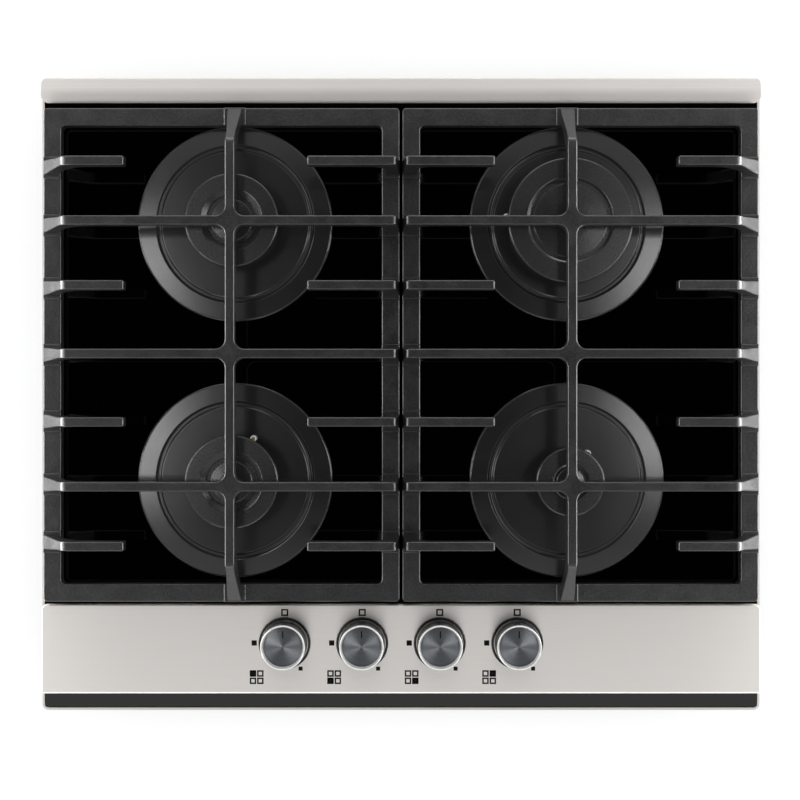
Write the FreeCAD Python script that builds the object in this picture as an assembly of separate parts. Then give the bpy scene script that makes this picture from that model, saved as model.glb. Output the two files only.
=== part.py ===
"""Built-in gas cooktop with four burners under two cast-iron pan supports, in millimetres.

X runs to the right, Y from the user towards the wall, and Z up. The origin is in the middle of the
footprint, level with the underside of the case, so the worktop seat is one case height above it.
"""
import FreeCAD
import Part
import math
import os

V = FreeCAD.Vector
UP = V(0, 0, 1)
BACK = V(0, 1, 0)
RIGHT = V(1, 0, 0)

# Rim and worktop seat
hob_width = 590.0
hob_depth = 520.0
rim_corner_radius = 5.0
frame_sheet = 1.0
lip_width = 1.8
lip_below_glass = 0.6
seal_width = 10.0
seal_thickness = 2.0
seal_inset = 2.0

# Case under the worktop; its rear wall stands forward to leave the gas and mains entries room
case_side_inset = 18.5
case_front_inset = 23.0
case_rear_inset = 46.0
case_height = 52.0
case_sheet = 1.0
case_corner_radius = 6.0
skirt_depth = 12.0
skirt_clearance = 0.2
vent_length = 34.0
vent_width = 4.0
vent_pitch = 12.0
vents_per_row = 6
vent_row_x = 62.0

# Glass and the steel trims on it
glass_thickness = 5.0
glass_clearance = 0.3
glass_corner_radius = 4.0
bevel_width = 12.4
bevel_drop = 2.2
trim_sheet = 0.8
panel_depth = 73.2
panel_rise = 4.0
panel_corner_radius = 4.5
panel_edge_radius = 1.4
rail_depth = 20.5
rail_rise = 4.3
rail_crest_from_front = 9.0
rail_edge_rise = 2.9
rail_rear_inset = 0.2

# Control axes
knob_spacing = 63.5
knob_from_front = 56.0
knob_radius = 18.0
knob_base_radius = 18.6
knob_rim_width = 1.0
knob_rim_slope = 1.2
knob_rim_edge_radius = 0.4
knob_recess = 3.6
knob_height = 17.5
knob_gap = 4.5
knob_wall = 2.5
knob_face_thickness = 3.0
knob_hub_radius = 6.5
knob_push = 3.5
pointer_length = 5.9
pointer_width = 1.1
pointer_depth = 0.4
pointer_edge_gap = 2.9
bezel_outer_radius = 21.3
bezel_inner_radius = 19.3
bezel_rise = 2.2
bezel_edge_radius = 0.7
panel_hole_radius = 12.0
shaft_seal_radius = 8.7
shaft_seal_flange_radius = 11.0
shaft_seal_flange = 1.6
shaft_seal_bore_clearance = 0.4
glass_hole_clearance = 0.3

# Gas taps, their bracket and the ignition switches
spindle_radius = 3.0
spindle_flat = 2.0
spindle_clearance = 0.05
spindle_in_knob = 12.0
collar_radius = 5.6
collar_height = 3.0
tap_half_width = 13.0
tap_depth = 38.0
plug_above_tap = 4.0
plug_length = 24.0
plug_radius = 6.5
plug_clearance = 0.05
plug_floor = 4.0
chamber_radius = 7.2
tap_port_radius = 2.0
outlet_boss_radius = 6.0
outlet_boss_length = 6.0
spring_radius = 4.4
spring_wire_radius = 0.45
spring_turns = 4
bracket_sheet = 1.5
bracket_overhang = 30.0
bracket_front_margin = 4.0
bracket_rear_margin = 8.0
bracket_hole_radius = 3.6
switch_width = 13.0
switch_depth = 6.5
switch_height = 10.0
switch_gap = 0.5
tap_screw_offset = 9.5

# Gas manifold, inlet and feed tubes
manifold_radius = 8.0
manifold_wall = 1.5
manifold_above_tap = 12.0
manifold_from_axis = 22.0
manifold_end_overhang = 25.0
manifold_bend = 24.0
saddle_half_width = 9.0
saddle_half_height = 7.0
inlet_from_side = 26.5
inlet_thread_radius = 10.478
inlet_bore_radius = 6.5
inlet_hex_radius = 14.0
inlet_body_length = 17.0
inlet_thread_length = 20.0
locknut_radius = 15.0
locknut_height = 5.0
inlet_relief_radius = 9.6
inlet_relief = 1.0
inlet_hole_clearance = 0.35
tube_radius = 4.0
tube_wall = 1.0
tube_bend = 18.0
tube_fit = 0.05
tube_insert = 5.0
feed_above_tap = 17.0
rear_feed_turn = 76.0
rear_feed_from_side = 61.5

# Burners
burner_from_side = 159.0
burner_behind_bar = 2.6
rapid_cap_radius = 50.3
semi_cap_radius = 37.7
small_cap_radius = 27.7
rapid_button_radius = 29.8
semi_button_radius = 16.6
small_button_radius = 11.0
rapid_groove_radius = 32.9
semi_groove_radius = 20.3
small_groove_radius = 12.9
rapid_slope_radius = 34.6
semi_slope_radius = 25.0
small_slope_radius = 14.8
crown_height = 19.0
crown_overhang = 4.0
crown_wall = 3.5
crown_floor = 3.0
crown_skirt_depth = 7.0
crown_skirt_wall = 1.5
crown_fit = 0.4
mixer_radius = 6.5
mixer_wall = 1.5
mixer_depth = 21.0
mixer_rise = 7.0
port_width = 1.6
port_height = 6.0
port_pitch = 4.4
cap_thickness = 4.5
cap_edge_radius = 1.6
cap_step = 1.0
cap_button_dome = 0.6
cap_groove_depth = 2.2
cap_slope_depth = 1.3
cap_spigot_depth = 3.0
cap_spigot_wall = 1.5
cup_inset = 8.0
cup_wall = 2.5
cup_below_glass = 36.0
cup_base = 10.0
cup_flange_margin = 8.5
cup_flange = 2.0
cup_neck_rise = 5.0
cup_passage_radius = 3.0
glass_burner_margin = 5.0
frame_burner_margin = 6.0
injector_hex_radius = 5.5
injector_hex_height = 5.0
injector_stem = 3.5
injector_bore_radius = 0.6

# Spill dishes
dish_radius = 80.0
dish_sheet = 1.0
dish_edge_radius = 1.8
dish_edge_rise = 2.4
dish_groove_outer = 65.0
dish_groove_inner = 60.0
dish_groove_depth = 1.5
dish_slope = 1.6
dish_neck_gap = 0.5

# Spark electrodes and flame sensors beside each crown
rear_electrode_angle = 6.0
left_electrode_angle = 65.5
right_electrode_angle = 53.5
insulator_radius = 2.5
insulator_fit = 0.1
insulator_below = 12.0
insulator_above = 10.0
insulator_collar_radius = 3.6
insulator_collar = 3.0
pin_radius = 0.9
pin_below = 18.0
pin_above = 18.5
pin_tip = 2.2
sensor_angle = 200.0
sensor_radius = 1.9
sensor_inset = 1.0
sensor_below = 14.0
sensor_above = 14.0
capillary_radius = 0.8
capillary_bend = 6.0
front_capillary_below_cup = 4.5
rear_capillary_below_cup = 8.0
capillary_tap_offset = 6.0

# Ignition module, mains terminals and wiring
module_width = 70.0
module_depth = 45.0
module_height = 22.0
module_behind_centre = 50.2
module_edge_radius = 2.0
lead_radius = 1.5
lead_below_cup = 14.0
lead_bend = 8.0
lead_spread = 13.0
terminal_width = 40.0
terminal_depth = 25.0
terminal_height = 20.0
terminal_wall_gap = 8.0
terminal_screw_radius = 3.0
gland_from_side = 61.5
gland_below_frame = 24.0
gland_bore_radius = 4.0
gland_shank_radius = 6.9
gland_flange_radius = 9.5
gland_flange = 8.0
gland_nut = 4.0
gland_fit = 0.1

# Burner rails, clips and screws
rail_strip_width = 20.0
rail_strip_sheet = 1.5
rail_strip_front_reach = 42.6
rail_strip_rear_reach = 38.7
burner_screw_offset = 12.0
clip_width = 20.0
clip_sheet = 0.8
clip_bottom = 6.0
clip_below_frame = 14.0
clip_bulge = 6.0
clip_bulge_z = 18.0
clip_from_end = 110.0
case_screw_below_frame = 6.0
case_screw_from_end = 150.0
case_screw_from_side = 116.5
screw_radius = 1.95
screw_fit = 0.05
screw_head_radius = 3.5
screw_head = 2.0
screw_recess_length = 4.0
screw_recess_width = 0.9
screw_recess_depth = 0.9
case_screw_length = 6.0
tap_screw_length = 9.5
burner_screw_length = 8.0

# Pan supports
grate_side_gap = 4.2
grate_seam_gap = 2.2
grate_front_gap = 3.4
grate_rear_gap = 6.8
grate_rail_width = 14.5
grate_rail_height = 9.0
grate_outer_corner = 3.0
grate_inner_corner = 4.0
foot_height = 4.0
foot_radius = 6.0
foot_stem_radius = 2.5
foot_stem_length = 5.0
foot_fit = 0.1
deck_above_glass = 48.0
bar_width = 7.5
bar_depth = 10.0
bar_edge_radius = 1.2
bar_row_share = 0.2616
finger_row_inner_share = 0.1345
finger_row_outer_share = 0.3787
long_bar_offset = 1.0
outer_finger_reach = 82.4
seam_finger_reach = 61.9
outer_bend_inset = 23.9
seam_bend_x = 3.9
rear_bend_inset = 31.9
front_bend_inset = 33.4
bend_radius = 6.0
gusset_radius = 12.0
leg_thickness = 11.0
leg_base_width = 12.0
leg_lap = 4.0
pad_width = 17.8
pad_rise = 1.5
crossing_radius = 7.75

# Levels and places that follow
frame_top = case_height + frame_sheet
glass_top = frame_top + glass_thickness
panel_top = glass_top + panel_rise
half_width = hob_width / 2
half_depth = hob_depth / 2
case_front = -half_depth + case_front_inset
case_rear = half_depth - case_rear_inset
case_half = half_width - case_side_inset
glass_half_x = half_width - lip_width - glass_clearance
glass_half_y = half_depth - lip_width - glass_clearance
panel_front = -glass_half_y + bevel_width
panel_rear = panel_front + panel_depth
knob_axis_y = knob_from_front - half_depth
knob_bottom = panel_top + knob_gap
knob_top = knob_bottom + knob_height
bracket_bottom = case_height - 4 * frame_sheet
tap_top = bracket_bottom
tap_bottom = tap_top - tap_depth
plug_bottom = tap_bottom + plug_above_tap
plug_top = plug_bottom + plug_length
manifold_z = tap_bottom + manifold_above_tap
feed_z = tap_bottom + feed_above_tap
gland_z = case_height - gland_below_frame
clip_top = case_height - clip_below_frame
case_screw_z = case_height - case_screw_below_frame
cup_bottom = glass_top - cup_below_glass
front_capillary_z = cup_bottom - front_capillary_below_cup
rear_capillary_z = cup_bottom - rear_capillary_below_cup
lead_z = cup_bottom - lead_below_cup
crown_seat = glass_top + cup_neck_rise
dish_disc_top = glass_top + cup_flange + dish_sheet
cap_seat = crown_seat + crown_height
cap_top = cap_seat + cap_thickness
manifold_y = knob_axis_y - manifold_from_axis
inlet_x = case_half - inlet_from_side
rear_feed_turn_y = knob_axis_y + rear_feed_turn
rear_feed_x = case_half - rear_feed_from_side
gland_x = gland_from_side - case_half
clip_y = half_depth - clip_from_end
case_screw_y = half_depth - case_screw_from_end
case_screw_x = case_half - case_screw_from_side
grate_bottom = glass_top + foot_height
grate_rail_top = grate_bottom + grate_rail_height
grate_top_z = glass_top + deck_above_glass
grate_front_y = panel_rear + grate_front_gap
grate_rear_y = half_depth - rail_rear_inset - rail_depth - grate_rear_gap
grate_outer_x = half_width - grate_side_gap
grate_length = grate_rear_y - grate_front_y
grate_centre_y = (grate_front_y + grate_rear_y) / 2
bar_row_pitch = bar_row_share * grate_length
finger_row_inner = finger_row_inner_share * grate_length
finger_row_outer = finger_row_outer_share * grate_length
foot_row = finger_row_outer
burner_x = half_width - burner_from_side
rear_burner_y = grate_centre_y + bar_row_pitch + burner_behind_bar
front_burner_y = grate_centre_y - bar_row_pitch + burner_behind_bar
long_bar_x = burner_x - long_bar_offset
outer_finger_tip = burner_x + outer_finger_reach
seam_finger_tip = burner_x - seam_finger_reach
outer_bend_x = grate_outer_x - outer_bend_inset
rear_bend_y = grate_rear_y - rear_bend_inset
front_bend_y = grate_front_y + front_bend_inset
seam_x = grate_seam_gap / 2
rail_strip_front_y = front_burner_y - rail_strip_front_reach
rail_strip_rear_y = rear_burner_y + rail_strip_rear_reach
module_y = grate_centre_y + module_behind_centre
shaft_hole_radius = shaft_seal_radius + glass_hole_clearance

BURNERS = {
    "rear_left": (-burner_x, rear_burner_y, semi_cap_radius, semi_button_radius),
    "front_left": (-burner_x, front_burner_y, semi_cap_radius, semi_button_radius),
    "front_right": (burner_x, front_burner_y, small_cap_radius, small_button_radius),
    "rear_right": (burner_x, rear_burner_y, rapid_cap_radius, rapid_button_radius),
}
CAP_RINGS = {
    "rear_left": (semi_groove_radius, semi_slope_radius),
    "front_left": (semi_groove_radius, semi_slope_radius),
    "front_right": (small_groove_radius, small_slope_radius),
    "rear_right": (rapid_groove_radius, rapid_slope_radius),
}
ELECTRODE_ANGLE = {
    "rear_left": rear_electrode_angle,
    "front_left": left_electrode_angle,
    "front_right": right_electrode_angle,
    "rear_right": 180 - rear_electrode_angle,
}
KNOB_X = {name: (place - 1.5) * knob_spacing for place, name in enumerate(BURNERS)}


# ---------------------------------------------------------------- shapes

def xz(u, w):
    """Point (u, w) of a profile standing in the XZ plane."""
    return V(u, 0, w)


def yz(u, w):
    """Point (u, w) of a profile standing in the YZ plane."""
    return V(0, u, w)


def xy(u, w):
    """Point (u, w) of a plan outline."""
    return V(u, w, 0)


def rounded_edges(corners, place, closed=True):
    """Straight edges through (u, w) or (u, w, radius) corners, with an arc at each radius."""
    points = [place(c[0], c[1]) for c in corners]
    radii = [c[2] if len(c) > 2 else 0.0 for c in corners]
    count = len(points)
    arrive, leave, middle = list(points), list(points), [None] * count
    for i in range(count):
        if not radii[i] or (not closed and i in (0, count - 1)):
            continue
        back = (points[i - 1] - points[i]).normalize()
        on = (points[(i + 1) % count] - points[i]).normalize()
        half_angle = back.getAngle(on) / 2
        reach = radii[i] / math.tan(half_angle)
        centre = points[i] + (back + on).normalize() * (radii[i] / math.sin(half_angle))
        arrive[i] = points[i] + back * reach
        leave[i] = points[i] + on * reach
        middle[i] = centre + (points[i] - centre).normalize() * radii[i]
    edges = []
    for i in range(count):
        if middle[i] is not None:
            edges.append(Part.Arc(arrive[i], middle[i], leave[i]).toShape())
        last = i == count - 1
        if last and not closed:
            break
        following = arrive[(i + 1) % count]
        if (following - leave[i]).Length > 1e-7:
            edges.append(Part.LineSegment(leave[i], following).toShape())
    return edges


def face(corners, place):
    """Flat face inside rounded corners."""
    return Part.Face(Part.Wire(rounded_edges(corners, place)))


def turned(corners, x=0.0, y=0.0):
    """Solid of revolution about the vertical axis through (x, y), from (radius, z) corners."""
    solid = face(corners, xz).revolve(V(0, 0, 0), UP, 360)
    solid.translate(V(x, y, 0))
    return solid


def plate(x0, x1, y0, y1, z0, z1, radius=0.0):
    """Upright block with rounded vertical edges."""
    corners = [(x0, y0, radius), (x1, y0, radius), (x1, y1, radius), (x0, y1, radius)]
    solid = face(corners, xy).extrude(V(0, 0, z1 - z0))
    solid.translate(V(0, 0, z0))
    return solid


def frame_ring(outer, inner, z0, z1):
    """Rectangular ring: outer and inner are (x0, x1, y0, y1, corner radius)."""
    return plate(*outer[:4], z0, z1, outer[4]).cut(plate(*inner[:4], z0, z1, inner[4]))


def cylinder(radius, start, end):
    """Round bar from start to end."""
    along = end - start
    return Part.makeCylinder(radius, along.Length, start, along)


def hexagon(radius, start, end):
    """Six-sided bar with its corners at radius, from start to end."""
    side = UP if abs((end - start).z) < 1e-6 else RIGHT
    across = (end - start).cross(side).normalize()
    up = across.cross((end - start).normalize())
    turns = [math.radians(60 * k) for k in range(7)]
    points = [start + across * (radius * math.cos(t)) + up * (radius * math.sin(t)) for t in turns]
    return Part.Face(Part.makePolygon(points)).extrude(end - start)


def d_bar(radius, flat, x, y, z0, z1):
    """Round bar with one flat, as a control spindle has."""
    bar = cylinder(radius, V(x, y, z0), V(x, y, z1))
    off = Part.makeBox(2 * radius, radius, z1 - z0, V(x - radius, y + flat, z0))
    return bar.cut(off)


def rounded(solid, radius, pick):
    """Solid with a fillet on each edge whose middle point pick accepts."""
    def middle(edge):
        return edge.valueAt((edge.FirstParameter + edge.LastParameter) / 2)
    return solid.makeFillet(radius, [e for e in solid.Edges if pick(middle(e))])


def union(pieces):
    """One solid from overlapping pieces."""
    whole = pieces[0].fuse(pieces[1:])
    return whole.removeSplitter()


def pipe(points, bend, radius):
    """Round bar along straight runs joined by arcs of one bend radius."""
    corners = [V(*p) for p in points]
    edges = []
    start = corners[0]
    for i in range(1, len(corners) - 1):
        back = (corners[i - 1] - corners[i]).normalize()
        on = (corners[i + 1] - corners[i]).normalize()
        half_angle = back.getAngle(on) / 2
        reach = bend / math.tan(half_angle)
        centre = corners[i] + (back + on).normalize() * (bend / math.sin(half_angle))
        middle = centre + (corners[i] - centre).normalize() * bend
        edges.append(Part.LineSegment(start, corners[i] + back * reach).toShape())
        edges.append(Part.Arc(corners[i] + back * reach, middle, corners[i] + on * reach).toShape())
        start = corners[i] + on * reach
    edges.append(Part.LineSegment(start, corners[-1]).toShape())
    ring = Part.Wire(Part.Circle(corners[0], corners[1] - corners[0], radius).toShape())
    return Part.Wire(edges).makePipeShell([ring], True, True)


def screw(seat, axis, length):
    """Cross-recess screw with its head standing from seat along axis."""
    head = turned([(0, 0), (screw_head_radius, 0), (screw_head_radius, screw_head, 0.8), (0, screw_head)])
    head = head.fuse(cylinder(screw_radius, V(0, 0, -length), V(0, 0, 0)))
    for turn in (0, 90):
        slot = Part.makeBox(screw_recess_length, screw_recess_width, screw_recess_depth,
                            V(-screw_recess_length / 2, -screw_recess_width / 2,
                              screw_head - screw_recess_depth))
        slot.rotate(V(0, 0, 0), UP, turn)
        head = head.cut(slot)
    head.Placement = FreeCAD.Placement(seat, FreeCAD.Rotation(UP, axis))
    return head


# ---------------------------------------------------------------- case, top frame and trims

def case_screw_places():
    """Seat and outward direction of each screw that holds the case to the top frame."""
    places = []
    for side in (-1, 1):
        for y in (-case_screw_y, case_screw_y):
            places.append((V(side * case_half, y, case_screw_z), RIGHT * side))
        for wall, out in ((case_front, -1), (case_rear, 1)):
            places.append((V(side * case_screw_x, wall, case_screw_z), BACK * out))
    return places


def case_screw_holes(radius):
    """Drills through the case wall and the skirt."""
    return Part.makeCompound([cylinder(radius, seat + out, seat - out * case_screw_length)
                              for seat, out in case_screw_places()])


def bottom_case():
    """Open steel tray with its holes."""
    inner = case_half - case_sheet
    tray = plate(-case_half, case_half, case_front, case_rear, 0, case_height, case_corner_radius)
    tray = tray.cut(plate(-inner, inner, case_front + case_sheet, case_rear - case_sheet,
                          case_sheet, case_height, case_corner_radius - case_sheet))
    cuts = [case_screw_holes(screw_radius + screw_fit)]
    cuts.append(cylinder(inlet_thread_radius + inlet_hole_clearance,
                         V(inlet_x, case_rear - 2 * case_sheet, manifold_z),
                         V(inlet_x, case_rear + case_sheet, manifold_z)))
    cuts.append(cylinder(gland_shank_radius + gland_fit,
                         V(gland_x, case_rear - 2 * case_sheet, gland_z),
                         V(gland_x, case_rear + case_sheet, gland_z)))
    for side in (-1, 1):
        for k in range(vents_per_row):
            y = (k - (vents_per_row - 1) / 2) * vent_pitch
            x = side * vent_row_x
            cuts.append(plate(x - vent_length / 2, x + vent_length / 2, y - vent_width / 2,
                              y + vent_width / 2, -case_sheet, 2 * case_sheet, vent_width / 2.1))
    return tray.cut(Part.makeCompound(cuts))


def burner_holes(margin, z0, z1):
    """Round openings for the burner cups."""
    return [cylinder(cap + margin, V(x, y, z0), V(x, y, z1)) for x, y, cap, _ in BURNERS.values()]


def shaft_holes(radius, z0, z1):
    """Round openings on the four control axes."""
    return [cylinder(radius, V(x, knob_axis_y, z0), V(x, knob_axis_y, z1)) for x in KNOB_X.values()]


def top_frame():
    """Steel pan with a lip round the glass and a skirt inside the case walls."""
    rim = (-half_width, half_width, -half_depth, half_depth, rim_corner_radius)
    inside = (-half_width + lip_width, half_width - lip_width, -half_depth + lip_width,
              half_depth - lip_width, rim_corner_radius - lip_width)
    deck = plate(*rim[:4], case_height, frame_top, rim_corner_radius)
    lip = frame_ring(rim, inside, case_height, glass_top - lip_below_glass)
    gap = case_sheet + skirt_clearance
    outer = (-case_half + gap, case_half - gap, case_front + gap, case_rear - gap,
             case_corner_radius - gap)
    inner = (outer[0] + frame_sheet, outer[1] - frame_sheet, outer[2] + frame_sheet,
             outer[3] - frame_sheet, outer[4] - frame_sheet)
    skirt = frame_ring(outer, inner, case_height - skirt_depth, frame_top)
    frame = union([deck, lip, skirt])
    cuts = burner_holes(frame_burner_margin, case_height - 1, frame_top + 1)
    cuts += shaft_holes(shaft_hole_radius, case_height - 1, frame_top + 1)
    cuts.append(case_screw_holes(screw_radius + screw_fit))
    return frame.cut(Part.makeCompound(cuts))


def worktop_seal():
    """Foam strip between the rim and the worktop."""
    x1, y1 = half_width - seal_inset, half_depth - seal_inset
    x0, y0 = x1 - seal_width, y1 - seal_width
    return frame_ring((-x1, x1, -y1, y1, rim_corner_radius), (-x0, x0, -y0, y0, rim_corner_radius),
                      case_height - seal_thickness, case_height)


def glass_panel():
    """Black glass with its burner and control openings and a ground slope along the front."""
    glass = plate(-glass_half_x, glass_half_x, -glass_half_y, glass_half_y, frame_top, glass_top,
                  glass_corner_radius)
    slope = face([(-glass_half_y - 1, glass_top + 1), (-glass_half_y - 1, glass_top - bevel_drop),
                  (-glass_half_y, glass_top - bevel_drop), (panel_front, glass_top),
                  (panel_front, glass_top + 1)], yz).extrude(V(hob_width, 0, 0))
    slope.translate(V(-half_width, 0, 0))
    cuts = burner_holes(glass_burner_margin, frame_top - 1, glass_top + 1)
    cuts += shaft_holes(shaft_hole_radius, frame_top - 1, glass_top + 1)
    return glass.cut(Part.makeCompound(cuts + [slope]))


def rail_profile(inset):
    """Domed section of the rear rail; inset makes the inside of its sheet."""
    front = half_depth - rail_rear_inset - rail_depth
    rear = half_depth - rail_rear_inset
    edge = 2.0 - inset
    low = glass_top + rail_edge_rise - inset
    crest = (front + rail_crest_from_front, glass_top + rail_rise - inset, 14.0)
    return [(front + inset, glass_top), (front + inset, low, edge), crest,
            (rear - inset, low - 0.8, edge), (rear - inset, glass_top)]


def rear_rail():
    """Folded steel rail along the back edge, with closed ends."""
    outside = face(rail_profile(0), yz).extrude(V(hob_width, 0, 0))
    outside.translate(V(-half_width, 0, 0))
    rear = half_depth - rail_rear_inset
    outside = outside.common(plate(-half_width, half_width, rear - rail_depth, rear, glass_top,
                                   glass_top + 2 * rail_rise, rim_corner_radius))
    inside = face(rail_profile(trim_sheet), yz).extrude(V(hob_width - 8 * trim_sheet, 0, 0))
    inside.translate(V(-half_width + 4 * trim_sheet, 0, 0))
    return outside.cut(inside)


def control_panel():
    """Folded steel panel with four control openings."""
    corner = panel_corner_radius
    outside = face([(-half_width, panel_front, corner / 3), (half_width, panel_front, corner / 3),
                    (half_width, panel_rear, corner), (-half_width, panel_rear, corner)], xy)
    outside = outside.extrude(V(0, 0, panel_rise))
    outside.translate(V(0, 0, glass_top))
    outside = rounded(outside, panel_edge_radius, lambda p: p.z > panel_top - 1e-6)
    inside = plate(-half_width + trim_sheet, half_width - trim_sheet, panel_front + trim_sheet,
                   panel_rear - trim_sheet, glass_top, panel_top - trim_sheet, corner - trim_sheet)
    panel = outside.cut(inside)
    return panel.cut(Part.makeCompound(shaft_holes(panel_hole_radius, glass_top, panel_top + 1)))


# ---------------------------------------------------------------- controls

def knob_bezels():
    """Ring round each knob, standing on the panel."""
    profile = [(bezel_inner_radius, panel_top),
               (bezel_outer_radius, panel_top),
               (bezel_outer_radius, panel_top + bezel_rise, bezel_edge_radius),
               (bezel_inner_radius, panel_top + bezel_rise, bezel_edge_radius)]
    return Part.makeCompound([turned(profile, x, knob_axis_y) for x in KNOB_X.values()])


def shaft_seals():
    """Rubber grommet in the glass round each spindle."""
    bore = spindle_radius + shaft_seal_bore_clearance
    top = glass_top + shaft_seal_flange
    profile = [(bore, case_height), (shaft_seal_radius, case_height), (shaft_seal_radius, glass_top),
               (shaft_seal_flange_radius, glass_top), (shaft_seal_flange_radius, top, 0.6), (bore, top)]
    return Part.makeCompound([turned(profile, x, knob_axis_y) for x in KNOB_X.values()])


def knob(x):
    """Hollow knob with a D bore, and an engraved pointer on its face inside a raised rim."""
    rim_inner = knob_radius - knob_rim_width
    face_radius = rim_inner - knob_rim_slope
    face_z = knob_top - knob_recess
    inner = knob_base_radius - knob_wall
    roof = face_z - knob_face_thickness
    body = turned([(0, knob_bottom), (knob_base_radius, knob_bottom),
                   (knob_radius, knob_top, knob_rim_edge_radius),
                   (rim_inner, knob_top, knob_rim_edge_radius), (face_radius, face_z), (0, face_z)])
    hollow = turned([(knob_hub_radius, knob_bottom), (inner, knob_bottom),
                     (inner - knob_wall / 5, roof), (knob_hub_radius, roof)])
    bore_radius = spindle_radius + spindle_clearance
    bore = d_bar(bore_radius, spindle_flat + spindle_clearance, 0, 0, knob_bottom,
                 knob_bottom + spindle_in_knob)
    pointer_outer = face_radius - pointer_edge_gap
    pointer = plate(-pointer_width / 2, pointer_width / 2, pointer_outer - pointer_length,
                    pointer_outer, face_z - pointer_depth, face_z + 1, pointer_width / 3)
    body = body.cut(Part.makeCompound([hollow, bore, pointer]))
    body.translate(V(x, knob_axis_y, 0))
    return body


def spindle(x):
    """D spindle with the collar that the spring lifts against the bracket."""
    bottom = plug_bottom + plug_floor + knob_push + 1
    bar = d_bar(spindle_radius, spindle_flat, x, knob_axis_y, bottom, knob_bottom + spindle_in_knob)
    top = V(x, knob_axis_y, bracket_bottom)
    return bar.fuse(cylinder(collar_radius, top - UP * collar_height, top)).removeSplitter()


def tap_plug(x):
    """Turning plug that meters the gas and is driven by the spindle's flat."""
    body = cylinder(plug_radius, V(x, knob_axis_y, plug_bottom), V(x, knob_axis_y, plug_top))
    bore = d_bar(spindle_radius + spindle_clearance, spindle_flat + spindle_clearance, x,
                 knob_axis_y, plug_bottom + plug_floor, plug_top)
    port = cylinder(tap_port_radius / 2, V(x - plug_radius, knob_axis_y, feed_z),
                    V(x + plug_radius, knob_axis_y, feed_z))
    return body.cut(Part.makeCompound([bore, port]))


def tap_spring(x):
    """Coil of half turns, each an arc tilted by half a pitch, from the plug to the collar."""
    low = plug_top + spring_wire_radius
    high = bracket_bottom - collar_height - spring_wire_radius
    rise = (high - low) / (2 * spring_turns)
    edges = []
    for k in range(2 * spring_turns):
        side = 1 if k % 2 == 0 else -1
        start = V(x + side * spring_radius, knob_axis_y, low + k * rise)
        end = V(x - side * spring_radius, knob_axis_y, low + (k + 1) * rise)
        middle_radius = (end - start).Length / 2
        middle = (start + end) / 2 + BACK * (side * middle_radius)
        edges.append(Part.Arc(start, middle, end).toShape())
    first = V(x + spring_radius, knob_axis_y, low)
    ring = Part.Wire(Part.Circle(first, BACK, spring_wire_radius).toShape())
    return Part.Wire(edges).makePipeShell([ring], True, True)


def tap_screw_places():
    """Seat of each screw that holds a tap under the bracket."""
    top = bracket_bottom + bracket_sheet
    return [V(x + side * tap_screw_offset, knob_axis_y - side * tap_screw_offset, top)
            for x in KNOB_X.values() for side in (-1, 1)]


def tap_body(x):
    """Brass tap with its plug bore, manifold saddle and tube socket."""
    half = tap_half_width
    y = knob_axis_y
    body = plate(x - half, x + half, y - half, y + half, tap_bottom, tap_top, 3.0)
    saddle = plate(x - saddle_half_width, x + saddle_half_width, manifold_y, y,
                   manifold_z - saddle_half_height, manifold_z + saddle_half_height)
    socket_end = y + half + outlet_boss_length
    socket = cylinder(outlet_boss_radius, V(x, y, feed_z), V(x, socket_end, feed_z))
    body = union([body, saddle, socket])
    cuts = [cylinder(plug_radius + plug_clearance, V(x, y, plug_bottom), V(x, y, tap_top)),
            cylinder(chamber_radius, V(x, y, plug_top), V(x, y, tap_top)),
            cylinder(manifold_radius + tube_fit, V(x - half, manifold_y, manifold_z),
                     V(x + half, manifold_y, manifold_z)),
            cylinder(tap_port_radius, V(x, manifold_y, manifold_z), V(x, y, manifold_z)),
            cylinder(tap_port_radius, V(x, y, feed_z), V(x, socket_end, feed_z)),
            cylinder(tube_radius + tube_fit, V(x, socket_end - tube_insert, feed_z),
                     V(x, socket_end, feed_z))]
    for side in (-1, 1):
        drill = V(x + side * tap_screw_offset, y - side * tap_screw_offset, tap_top)
        cuts.append(cylinder(screw_radius + screw_fit, drill - UP * tap_screw_length, drill))
    return body.cut(Part.makeCompound(cuts))


def tap_bracket():
    """Folded strip under the frame that the taps hang from."""
    x1 = 1.5 * knob_spacing + bracket_overhang
    front = knob_axis_y - tap_half_width - bracket_front_margin
    rear = knob_axis_y + tap_half_width + bracket_rear_margin
    top = bracket_bottom + bracket_sheet
    strip = plate(-x1, x1, front, rear, bracket_bottom, top)
    folds = [plate(-x1, x1, front, front + bracket_sheet, bracket_bottom, case_height),
             plate(-x1, x1, rear - bracket_sheet, rear, bracket_bottom, case_height)]
    cuts = shaft_holes(bracket_hole_radius, bracket_bottom - 1, top + 1)
    cuts += [cylinder(screw_radius + 2 * screw_fit, seat - UP * 2 * bracket_sheet, seat + UP)
             for seat in tap_screw_places()]
    return union([strip] + folds).cut(Part.makeCompound(cuts))


def ignition_switches():
    """Switch behind each spindle, under the bracket."""
    y = knob_axis_y + tap_half_width + switch_gap
    return Part.makeCompound([
        plate(x - switch_width / 2, x + switch_width / 2, y, y + switch_depth,
              bracket_bottom - switch_height, bracket_bottom, 1.0) for x in KNOB_X.values()])


# ---------------------------------------------------------------- gas train

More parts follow.
